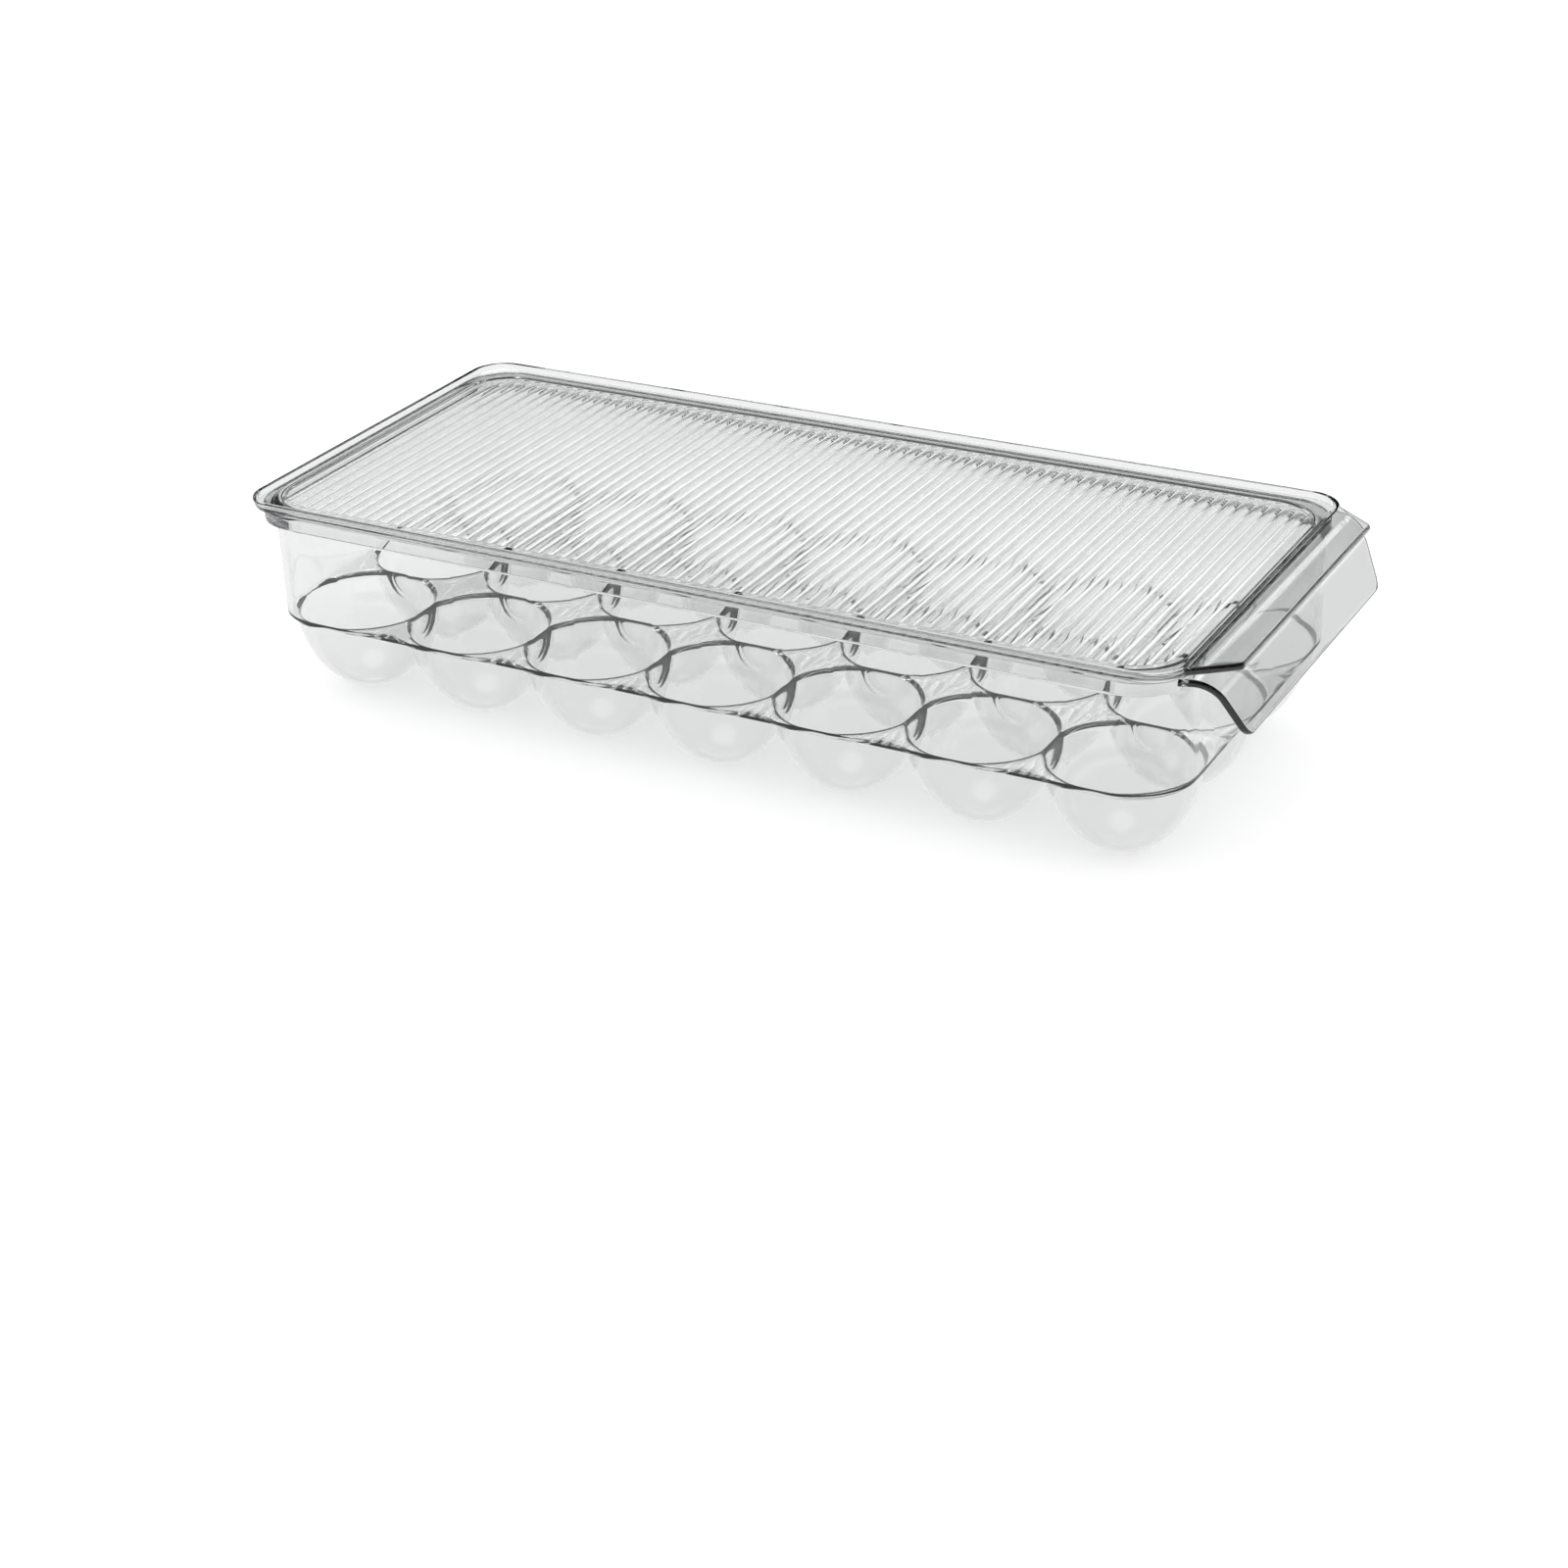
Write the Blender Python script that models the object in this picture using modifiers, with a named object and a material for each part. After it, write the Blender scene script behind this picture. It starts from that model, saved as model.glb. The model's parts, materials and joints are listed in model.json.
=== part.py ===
"""Clear plastic egg keeper for a refrigerator shelf: a tray with 21 egg cups and a lift-off ribbed lid.

Units are metres, +Z is up and +X points to the end with the pull handle. The origin is under the
middle cup, on the plane that the tray rests on.
"""

import math

import bmesh
import bpy
from mathutils import Vector

# Egg cups: a grid of bowls that hang below a flat deck
CUP_PITCH = 0.0475
CUP_COLUMNS = 7
CUP_ROWS = 3
CUP_RIM_RADIUS = 0.0241
CUP_DEPTH = 0.0310
CUP_WALL = 0.0009
CUP_FOOT_RADIUS = 0.004
CUP_ROUNDNESS = 1.95
CUP_SEGMENTS = 20
CUP_RINGS = 5
WEB_THICKNESS = 0.0008

# Tray walls
DECK_THICKNESS = 0.0018
WALL_THICKNESS = 0.0015
RIM_LAND_END = 0.0002
RIM_LAND_SIDE = 0.0003
WALL_CORNER_RADIUS = 0.021
WALL_FOOT_ROUNDING = 0.0012
TRAY_DEPTH = 0.0401

# Flange round the mouth of the tray
FLANGE_HEIGHT = 0.0049
FLANGE_REACH_END = 0.0009
FLANGE_REACH_SIDE = 0.0029
FLANGE_CORNER_RADIUS = 0.0175
FLANGE_FILLET = 0.0022
FLANGE_TOP_ROUNDING = 0.0012

# Pull handle: a sheet that leaves the flange level, bends down and narrows
HANDLE_THICKNESS = 0.002
HANDLE_LEVEL_RUN = 0.0018
HANDLE_BEND_RADIUS = 0.010
HANDLE_BEND_DEGREES = 63.0
HANDLE_DROP_RUN = 0.0144
HANDLE_ROOT_HALF_WIDTH = 0.0695
HANDLE_END_HALF_WIDTH = 0.0597
HANDLE_CORNER_RADIUS = 0.003
HANDLE_BEND_STEPS = 6
HANDLE_CORNER_STEPS = 3

# Lid: a plate with an upstanding rim, a panel that drops into the tray's mouth, and a lift tab
CLEARANCE = 0.0003
LID_OVERHANG_END = 0.0005
LID_OVERHANG_SIDE = 0.0015
LID_CORNER_RADIUS = 0.0125
LID_EDGE_HEIGHT = 0.0033
LID_EDGE_DRAFT = 0.0005
LID_RIM_WIDTH = 0.002
LID_RIM_HEIGHT = 0.0017
LID_PANEL_THICKNESS = 0.0016
LID_PANEL_DROP = 0.0013
LID_STEP_WALL = 0.0014
LID_STEP_END = 0.0018
LID_STEP_CORNER_RADIUS = 0.0177

# Lift tab on the lid, over the handle
TAB_THICKNESS = 0.0025
TAB_REACH = 0.0138
TAB_ROOT_HALF_WIDTH = 0.0695
TAB_END_HALF_WIDTH = 0.058
TAB_CORNER_RADIUS = 0.003

# Ribs across the lid's panel
RIB_PITCH = 0.0047
RIB_WIDTH = 0.0014
RIB_TOP_WIDTH = 0.0006
RIB_HEIGHT = 0.0005
RIB_MARGIN = 0.0034

# Modelling
CORNER_STEPS = 6
OVERRUN = 0.002
MERGE_DISTANCE = 0.00001
SMOOTH_DEGREES = 35.0
MATERIAL_COLOUR = (0.80, 0.82, 0.82, 1.0)
MATERIAL_ROUGHNESS = 0.06
MATERIAL_ALPHA = 0.4

# Heights above the resting plane
DECK_TOP = CUP_DEPTH + CUP_WALL
DECK_BOTTOM = DECK_TOP - DECK_THICKNESS
FLANGE_TOP = DECK_TOP + TRAY_DEPTH
FLANGE_BOTTOM = FLANGE_TOP - FLANGE_HEIGHT
LID_BOTTOM = FLANGE_TOP + CLEARANCE
LID_TOP = LID_BOTTOM + LID_EDGE_HEIGHT
LID_LEDGE = LID_TOP - LID_RIM_HEIGHT
LID_PANEL_TOP = LID_LEDGE - LID_PANEL_DROP
LID_PANEL_BOTTOM = LID_PANEL_TOP - LID_PANEL_THICKNESS
RIB_TOP = LID_PANEL_TOP + RIB_HEIGHT

# Half sizes of the concentric outlines, as (half length, half width, corner radius)
INNER_HALF_LENGTH = (CUP_COLUMNS - 1) / 2 * CUP_PITCH + CUP_RIM_RADIUS + RIM_LAND_END
INNER_HALF_WIDTH = (CUP_ROWS - 1) / 2 * CUP_PITCH + CUP_RIM_RADIUS + RIM_LAND_SIDE


def grown(outline, length, width, radius):
    """The outline with its half length and half width grown, and a new corner radius."""
    return (outline[0] + length, outline[1] + width, radius)


def inset(outline, distance):
    """The outline moved inwards all round, with the same corner centres."""
    return (outline[0] - distance, outline[1] - distance, outline[2] - distance)


MOUTH = (INNER_HALF_LENGTH, INNER_HALF_WIDTH, WALL_CORNER_RADIUS - WALL_THICKNESS)
WALL = inset(MOUTH, -WALL_THICKNESS)
FLANGE = grown(WALL, FLANGE_REACH_END, FLANGE_REACH_SIDE, FLANGE_CORNER_RADIUS)
LID_EDGE = grown(FLANGE, LID_OVERHANG_END, LID_OVERHANG_SIDE, LID_CORNER_RADIUS)
LID_FOOT = inset(LID_EDGE, LID_EDGE_DRAFT)
LID_RIM_INSIDE = inset(LID_EDGE, LID_RIM_WIDTH)
LID_STEP = grown(MOUTH, -LID_STEP_END, -CLEARANCE, LID_STEP_CORNER_RADIUS)
LID_FIELD = inset(LID_STEP, LID_STEP_WALL)


def empty_scene():
    """Remove every object, so that the script can be run again."""
    for thing in list(bpy.data.objects):
        bpy.data.objects.remove(thing, do_unlink=True)


def make_collection(name, parent):
    """A new collection under parent."""
    collection = bpy.data.collections.new(name)
    parent.children.link(collection)
    return collection


def shade_round(mesh):
    """Shade the rounded faces smooth and keep the real edges sharp."""
    mesh.shade_smooth()
    mesh.set_sharp_from_angle(angle=math.radians(SMOOTH_DEGREES))


def mesh_object(name, shape, collection):
    """Turn a bmesh into an object in the collection, with its faces pointing out."""
    bmesh.ops.recalc_face_normals(shape, faces=shape.faces)
    mesh = bpy.data.meshes.new(name)
    shape.to_mesh(mesh)
    shape.free()
    shade_round(mesh)
    thing = bpy.data.objects.new(name, mesh)
    collection.objects.link(thing)
    return thing


def as_cutter(thing):
    """Mark an object as a tool shape that isn't a piece of the product."""
    thing.hide_render = True
    thing.display_type = "WIRE"
    return thing


def rounded_rectangle(outline, steps):
    """Points round a rectangle with rounded corners, anticlockwise."""
    half_length, half_width, radius = outline
    points = []
    for quarter, (side_x, side_y) in enumerate(((1, 1), (-1, 1), (-1, -1), (1, -1))):
        centre_x = side_x * (half_length - radius)
        centre_y = side_y * (half_width - radius)
        for step in range(steps + 1):
            angle = (quarter + step / steps) * math.pi / 2
            points.append((centre_x + radius * math.cos(angle), centre_y + radius * math.sin(angle)))
    return points


def loft(name, sections, collection):
    """A closed solid through rounded rectangles, given as (outline, height), lowest first."""
    shape = bmesh.new()
    rings = []
    for outline, height in sections:
        points = rounded_rectangle(outline, CORNER_STEPS)
        rings.append([shape.verts.new((x, y, height)) for x, y in points])
    for lower, upper in zip(rings, rings[1:]):
        for index in range(len(lower)):
            after = (index + 1) % len(lower)
            shape.faces.new((lower[index], lower[after], upper[after], upper[index]))
    shape.faces.new(rings[0][::-1])
    shape.faces.new(rings[-1])
    return mesh_object(name, shape, collection)


def add_boolean(thing, operation, operand):
    """Join or cut with one object or with every object of a collection."""
    modifier = thing.modifiers.new(operation.lower(), "BOOLEAN")
    modifier.operation = operation
    modifier.solver = "EXACT"
    if isinstance(operand, bpy.types.Collection):
        modifier.operand_type = "COLLECTION"
        modifier.collection = operand
    else:
        modifier.object = operand


def add_material(thing):
    """Clear, faintly grey moulded plastic."""
    material = bpy.data.materials.new(thing.name + "_clear_plastic")
    material.use_nodes = True
    shader = material.node_tree.nodes["Principled BSDF"]
    shader.inputs["Base Color"].default_value = MATERIAL_COLOUR
    shader.inputs["Roughness"].default_value = MATERIAL_ROUGHNESS
    shader.inputs["Metallic"].default_value = 0
    shader.inputs["Alpha"].default_value = MATERIAL_ALPHA
    material.diffuse_color = MATERIAL_COLOUR
    thing.data.materials.append(material)


def bowl_profile(radius, depth, deck, top, foot_radius):
    """Half section of a bowl from its top down to its foot, between an ellipse and a box in shape."""
    points = [(0, top), (radius, top), (radius, deck)]
    for ring in range(1, CUP_RINGS):
        angle = ring / CUP_RINGS * math.pi / 2
        across = radius * math.cos(angle) ** (2 / CUP_ROUNDNESS)
        down = depth * math.sin(angle) ** (2 / CUP_ROUNDNESS)
        points.append((across, deck - down))
    points.append((foot_radius, deck - depth))
    points.append((0, deck - depth))
    return points


def bowl_mesh(name, radius, depth, top, foot_radius, collection):
    """The mesh of a solid bowl, turned about the vertical axis from its half section."""
    shape = bmesh.new()
    corners = [
        shape.verts.new((x, 0, z)) for x, z in bowl_profile(radius, depth, DECK_TOP, top, foot_radius)
    ]
    for upper, lower in zip(corners, corners[1:]):
        shape.edges.new((upper, lower))
    mesh = bpy.data.meshes.new(name)
    shape.to_mesh(mesh)
    shape.free()
    profile = bpy.data.objects.new(name, mesh)
    collection.objects.link(profile)
    turning = profile.modifiers.new("turning", "SCREW")
    turning.axis = "Z"
    turning.steps = CUP_SEGMENTS
    turning.render_steps = CUP_SEGMENTS
    turning.use_merge_vertices = True
    turning.merge_threshold = MERGE_DISTANCE
    depsgraph = bpy.context.evaluated_depsgraph_get()
    turned = bpy.data.meshes.new_from_object(profile.evaluated_get(depsgraph))
    bpy.data.objects.remove(profile, do_unlink=True)
    shade_round(turned)
    return turned


def cup_places():
    """Column, row and centre of every cup."""
    for column in range(CUP_COLUMNS):
        for row in range(CUP_ROWS):
            x = (column - (CUP_COLUMNS - 1) / 2) * CUP_PITCH
            y = (row - (CUP_ROWS - 1) / 2) * CUP_PITCH
            yield column, row, Vector((x, y, 0))


def bowl_outsides(collection):
    """The outer form of every bowl, reaching up into the deck."""
    deck_middle = DECK_TOP - DECK_THICKNESS / 2
    mesh = bowl_mesh(
        "bowl_outside", CUP_RIM_RADIUS + CUP_WALL, CUP_DEPTH + CUP_WALL, deck_middle, CUP_FOOT_RADIUS, collection
    )
    for column, row, centre in cup_places():
        bowl = bpy.data.objects.new(f"bowl_outside_{column + 1}_{row + 1}", mesh)
        bowl.location = centre
        collection.objects.link(as_cutter(bowl))


def bowl_insides(collection):
    """The hollow of every cup, cut flat where a thin web parts it from its neighbour."""
    mesh = bowl_mesh("bowl_inside", CUP_RIM_RADIUS, CUP_DEPTH, DECK_TOP + OVERRUN, CUP_FOOT_RADIUS, collection)
    flat = (CUP_PITCH - WEB_THICKNESS) / 2
    for column, row, centre in cup_places():
        neighbours = []
        if column > 0:
            neighbours.append(Vector((-1, 0, 0)))
        if column < CUP_COLUMNS - 1:
            neighbours.append(Vector((1, 0, 0)))
        if row > 0:
            neighbours.append(Vector((0, -1, 0)))
        if row < CUP_ROWS - 1:
            neighbours.append(Vector((0, 1, 0)))
        shape = bmesh.new()
        shape.from_mesh(mesh)
        for outward in neighbours:
            cut = bmesh.ops.bisect_plane(
                shape,
                geom=shape.verts[:] + shape.edges[:] + shape.faces[:],
                dist=MERGE_DISTANCE,
                plane_co=outward * flat,
                plane_no=outward,
                clear_outer=True,
            )
            edges = [item for item in cut["geom_cut"] if isinstance(item, bmesh.types.BMEdge)]
            bmesh.ops.holes_fill(shape, edges=edges)
        bowl = mesh_object(f"bowl_inside_{column + 1}_{row + 1}", shape, collection)
        bowl.location = centre
        as_cutter(bowl)


def handle_section():
    """Centre line of the handle sheet as (distance along it, x, z), from inside the wall outwards."""
    bend = math.radians(HANDLE_BEND_DEGREES)
    start_x = WALL[0] - WALL_THICKNESS / 2
    bend_x = FLANGE[0] + HANDLE_LEVEL_RUN
    level_z = FLANGE_TOP - HANDLE_THICKNESS / 2
    points = [(0, start_x, level_z)]
    for step in range(HANDLE_BEND_STEPS + 1):
        angle = bend * step / HANDLE_BEND_STEPS
        x = bend_x + HANDLE_BEND_RADIUS * math.sin(angle)
        z = level_z - HANDLE_BEND_RADIUS * (1 - math.cos(angle))
        points.append((bend_x - start_x + HANDLE_BEND_RADIUS * angle, x, z))
    bend_end = points[-1]
    straight = HANDLE_DROP_RUN - HANDLE_CORNER_RADIUS
    for step in range(HANDLE_CORNER_STEPS + 1):
        turn = step / HANDLE_CORNER_STEPS * math.pi / 2
        run = straight + HANDLE_CORNER_RADIUS * math.sin(turn)
        x = bend_end[1] + run * math.cos(bend)
        z = bend_end[2] - run * math.sin(bend)
        points.append((bend_end[0] + run, x, z))
    return points


def handle_sheet(collection):
    """The pull handle: a sheet bent along the handle section, narrower towards its lower edge."""
    section = handle_section()
    total = section[-1][0]
    shape = bmesh.new()
    rows = []
    for along, x, z in section:
        share = along / total
        half_width = HANDLE_ROOT_HALF_WIDTH + (HANDLE_END_HALF_WIDTH - HANDLE_ROOT_HALF_WIDTH) * share
        into_corner = max(0, along - (total - HANDLE_CORNER_RADIUS))
        half_width -= HANDLE_CORNER_RADIUS - math.sqrt(max(0, HANDLE_CORNER_RADIUS**2 - into_corner**2))
        rows.append([shape.verts.new((x, side * half_width, z)) for side in (-1, 1)])
    for inner, outer in zip(rows, rows[1:]):
        shape.faces.new((inner[0], outer[0], outer[1], inner[1]))
    handle = mesh_object("handle_sheet", shape, collection)
    solid = handle.modifiers.new("thickness", "SOLIDIFY")
    solid.thickness = HANDLE_THICKNESS
    solid.offset = 0
    solid.use_even_offset = True
    return as_cutter(handle)


def make_tray(parts, cutters):
    """Deck, walls and flange in one moulding with the bowls and the handle."""
    outsides = make_collection("bowl_outsides", cutters)
    hollows = make_collection("tray_hollows", cutters)
    bowl_outsides(outsides)
    bowl_insides(hollows)
    mouth = loft("tray_mouth", [(MOUTH, DECK_TOP), (MOUTH, FLANGE_TOP + OVERRUN)], hollows)
    as_cutter(mouth)
    fillet_half = grown(WALL, FLANGE_REACH_END / 4, FLANGE_REACH_SIDE / 4, WALL_CORNER_RADIUS)
    tray = loft(
        "tray",
        [
            (inset(WALL, WALL_FOOT_ROUNDING), DECK_BOTTOM),
            (inset(WALL, WALL_FOOT_ROUNDING / 4), DECK_BOTTOM + WALL_FOOT_ROUNDING / 4),
            (WALL, DECK_BOTTOM + WALL_FOOT_ROUNDING),
            (WALL, FLANGE_BOTTOM - FLANGE_FILLET),
            (fillet_half, FLANGE_BOTTOM - FLANGE_FILLET / 3),
            (FLANGE, FLANGE_BOTTOM),
            (FLANGE, FLANGE_TOP - FLANGE_TOP_ROUNDING),
            (inset(FLANGE, FLANGE_TOP_ROUNDING / 4), FLANGE_TOP - FLANGE_TOP_ROUNDING / 4),
            (inset(FLANGE, FLANGE_TOP_ROUNDING), FLANGE_TOP),
        ],
        parts,
    )
    add_boolean(tray, "UNION", outsides)
    add_boolean(tray, "UNION", handle_sheet(cutters))
    add_boolean(tray, "DIFFERENCE", hollows)
    return tray


def tab_outline():
    """Half outline of the lift tab, from its root on the lid's edge to the middle of its end."""
    root_x = LID_EDGE[0] - LID_RIM_WIDTH / 2
    end_x = LID_EDGE[0] + TAB_REACH
    root = Vector((root_x, TAB_ROOT_HALF_WIDTH))
    corner = Vector((end_x, TAB_END_HALF_WIDTH))
    side = (corner - root).normalized()
    end = Vector((0, -1))
    turn = side.angle(end)
    setback = TAB_CORNER_RADIUS * math.tan(turn / 2)
    first = corner - side * setback
    centre = first + Vector((side.y, -side.x)) * TAB_CORNER_RADIUS
    arm = first - centre
    points = [root]
    for step in range(CORNER_STEPS + 1):
        angle = -turn * step / CORNER_STEPS
        spun = Vector(
            (arm.x * math.cos(angle) - arm.y * math.sin(angle), arm.x * math.sin(angle) + arm.y * math.cos(angle))
        )
        points.append(centre + spun)
    return points


def tab_plate(collection):
    """The lift tab, level with the top of the lid's rim."""
    upper_half = tab_outline()
    outline = upper_half + [Vector((point.x, -point.y)) for point in reversed(upper_half)]
    shape = bmesh.new()
    low = [shape.verts.new((point.x, point.y, LID_TOP - TAB_THICKNESS)) for point in outline]
    high = [shape.verts.new((point.x, point.y, LID_TOP)) for point in outline]
    for index in range(len(outline)):
        after = (index + 1) % len(outline)
        shape.faces.new((low[index], low[after], high[after], high[index]))
    shape.faces.new(low[::-1])
    shape.faces.new(high)
    return as_cutter(mesh_object("tab_plate", shape, collection))


def rib_half_length(x):
    """How far a rib at x runs from the middle, kept the same distance from the field's edge."""
    half_length, half_width, radius = inset(LID_FIELD, RIB_MARGIN)
    into_corner = abs(x) + RIB_WIDTH / 2 - (half_length - radius)
    if into_corner <= 0:
        return half_width
    return half_width - radius + math.sqrt(max(0, radius**2 - into_corner**2))


def ribs(collection):
    """Low ribs across the lid's panel, each a closed bar that is rooted in the panel."""
    reach = LID_FIELD[0] - RIB_MARGIN - RIB_WIDTH / 2
    count = 2 * int(reach / RIB_PITCH) + 1
    root_z = LID_PANEL_TOP - LID_PANEL_THICKNESS / 2
    shape = bmesh.new()
    for index in range(count):
        x = (index - (count - 1) / 2) * RIB_PITCH
        end = rib_half_length(x)
        section = [
            (x - RIB_WIDTH / 2, root_z),
            (x + RIB_WIDTH / 2, root_z),
            (x + RIB_WIDTH / 2, LID_PANEL_TOP),
            (x + RIB_TOP_WIDTH / 2, RIB_TOP),
            (x - RIB_TOP_WIDTH / 2, RIB_TOP),
            (x - RIB_WIDTH / 2, LID_PANEL_TOP),
        ]
        near = [shape.verts.new((px, -end, pz)) for px, pz in section]
        far = [shape.verts.new((px, end, pz)) for px, pz in section]
        for corner in range(len(section)):
            after = (corner + 1) % len(section)
            shape.faces.new((near[corner], near[after], far[after], far[corner]))
        shape.faces.new(near[::-1])
        shape.faces.new(far)
    return as_cutter(mesh_object("ribs", shape, collection))


def make_lid(parts, cutters):
    """Lid plate with its rim, the panel that drops into the mouth, the ribs and the lift tab."""
    hollows = make_collection("lid_hollows", cutters)
    lid = loft("lid", [(LID_FOOT, LID_BOTTOM), (LID_EDGE, LID_TOP)], parts)
    step = loft("lid_step", [(LID_STEP, LID_PANEL_BOTTOM), (LID_STEP, LID_LEDGE - LID_PANEL_DROP / 2)], cutters)
    top_recess = loft("lid_top_recess", [(LID_RIM_INSIDE, LID_LEDGE), (LID_RIM_INSIDE, LID_TOP + OVERRUN)], hollows)
    field_recess = loft("lid_field_recess", [(LID_FIELD, LID_PANEL_TOP), (LID_FIELD, LID_LEDGE + OVERRUN)], hollows)
    as_cutter(step)
    as_cutter(top_recess)
    as_cutter(field_recess)
    add_boolean(lid, "UNION", step)
    add_boolean(lid, "UNION", tab_plate(cutters))
    add_boolean(lid, "DIFFERENCE", hollows)
    add_boolean(lid, "UNION", ribs(cutters))
    return lid


def main():
    """Build the tray and the lid."""
    empty_scene()
    scene_root = bpy.context.scene.collection
    parts = make_collection("egg_keeper", scene_root)
    cutters = make_collection("cutters", scene_root)
    for piece in (make_tray(parts, cutters), make_lid(parts, cutters)):
        add_material(piece)


main()
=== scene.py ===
"""Clear plastic egg keeper for a refrigerator shelf, dressed for the camera.

The tray and the lid are rebuilt here as smooth closed shells from the same sizes as the CAD, because
clear plastic shows every facet. Units are metres, +Z is up and +X points to the end with the handle.
"""

import json
import logging
import math
from dataclasses import dataclass
from enum import Enum
from typing import Iterable

import bmesh
import bpy
from mathutils import Matrix, Vector

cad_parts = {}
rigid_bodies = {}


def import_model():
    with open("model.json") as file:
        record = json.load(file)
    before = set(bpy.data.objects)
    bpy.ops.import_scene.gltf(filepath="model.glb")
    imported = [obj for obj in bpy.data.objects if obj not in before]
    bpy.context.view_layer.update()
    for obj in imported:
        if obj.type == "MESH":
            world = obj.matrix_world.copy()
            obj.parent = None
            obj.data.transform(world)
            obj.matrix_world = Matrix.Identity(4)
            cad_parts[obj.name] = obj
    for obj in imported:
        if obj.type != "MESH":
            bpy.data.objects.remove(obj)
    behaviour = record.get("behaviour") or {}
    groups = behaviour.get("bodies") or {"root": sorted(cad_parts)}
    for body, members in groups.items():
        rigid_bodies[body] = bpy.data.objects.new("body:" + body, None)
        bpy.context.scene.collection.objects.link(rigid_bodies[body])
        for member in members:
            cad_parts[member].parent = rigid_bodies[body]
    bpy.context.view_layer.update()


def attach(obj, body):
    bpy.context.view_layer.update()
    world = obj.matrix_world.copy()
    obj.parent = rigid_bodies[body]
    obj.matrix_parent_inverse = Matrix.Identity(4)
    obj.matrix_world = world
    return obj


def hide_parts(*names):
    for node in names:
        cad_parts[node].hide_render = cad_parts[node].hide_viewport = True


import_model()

LOG = logging.getLogger("egg_keeper")
MERGE_DISTANCE = 0.000005
SMOOTH_ANGLE = math.radians(35.0)
QUARTER_TURN = math.pi / 2
LEAST_FACING = 0.1
HALVINGS = 30
FINE_SEARCH = 8
NEARLY_HALF = 0.49
NEARLY_ALL = 0.99
FLAT_MARGIN = 0.002
SENSOR_WIDTH = 36.0
CAMERA_RANGE = (0.01, 20.0)
FLOOR_SIDES = 96
CLEAR_BOUNCES, GLOSS_BOUNCES, SHADOW_BOUNCES = 32, 12, 48

Point = tuple[float, float, float]
Ring = list[Point]


class Axis(Enum):
    """The four ways out of a cup's cell, as unit steps in X and Y."""

    RIGHT = (1, 0)
    BACK = (0, 1)
    LEFT = (-1, 0)
    FRONT = (0, -1)


def linear_colour(code: str) -> tuple[float, float, float, float]:
    """Turn an sRGB hex code into the linear colour that shaders take.

    Args:
        code: Six hex digits, such as "d8dcdc".

    Returns:
        Linear red, green, blue and an alpha of 1.
    """
    channels = [int(code[start : start + 2], 16) / 255 for start in (0, 2, 4)]
    linear = [c / 12.92 if c <= 0.04045 else ((c + 0.055) / 1.055) ** 2.4 for c in channels]
    return (linear[0], linear[1], linear[2], 1.0)


def add_node(
    tree: bpy.types.NodeTree, kind: str, settings: dict | None = None, **sockets
) -> bpy.types.Node:
    """Add a node with its settings and its inputs.

    Args:
        tree: The node tree that the node goes into.
        kind: The node's type name.
        settings: Values for the node's own properties.
        **sockets: Input values or output sockets to link, keyed by the input's name with underscores for
            spaces, or by in0, in1 and so on for inputs that share a name.

    Returns:
        The new node.
    """
    node = tree.nodes.new(kind)
    for name, value in (settings or {}).items():
        setattr(node, name, value)
    for name, value in sockets.items():
        if name.startswith("in") and name[2:].isdigit():
            socket = node.inputs[int(name[2:])]
        else:
            label = name.replace("_", " ")
            socket = next(item for item in node.inputs if item.enabled and item.name == label)
        if isinstance(value, bpy.types.NodeSocket):
            tree.links.new(value, socket)
        else:
            socket.default_value = value
    return node


def maths(tree: bpy.types.NodeTree, operation: str, *values) -> bpy.types.NodeSocket:
    """Add one sum of values or sockets to a node tree, and return its result."""
    inputs = {f"in{index}": value for index, value in enumerate(values)}
    return add_node(tree, "ShaderNodeMath", {"operation": operation}, **inputs).outputs[0]


def parts_of(tree: bpy.types.NodeTree, place: bpy.types.NodeSocket) -> list[bpy.types.NodeSocket]:
    """X, Y and Z of a vector in a node tree."""
    return list(add_node(tree, "ShaderNodeSeparateXYZ", in0=place).outputs)


def soft_ramp(tree: bpy.types.NodeTree, value: bpy.types.NodeSocket, **limits) -> bpy.types.NodeSocket:
    """Add a smooth ramp of a value, with its limits by input name, and return its result."""
    settings = {"interpolation_type": "SMOOTHSTEP"}
    return add_node(tree, "ShaderNodeMapRange", settings, Value=value, **limits).outputs[0]


def seen_in_plastic(tree: bpy.types.NodeTree) -> bpy.types.NodeSocket:
    """1 for what gloss and clear plastic show, and 0 for all else."""
    path = add_node(tree, "ShaderNodeLightPath").outputs
    return maths(tree, "MAXIMUM", path["Is Glossy Ray"], path["Is Transmission Ray"])


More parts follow.
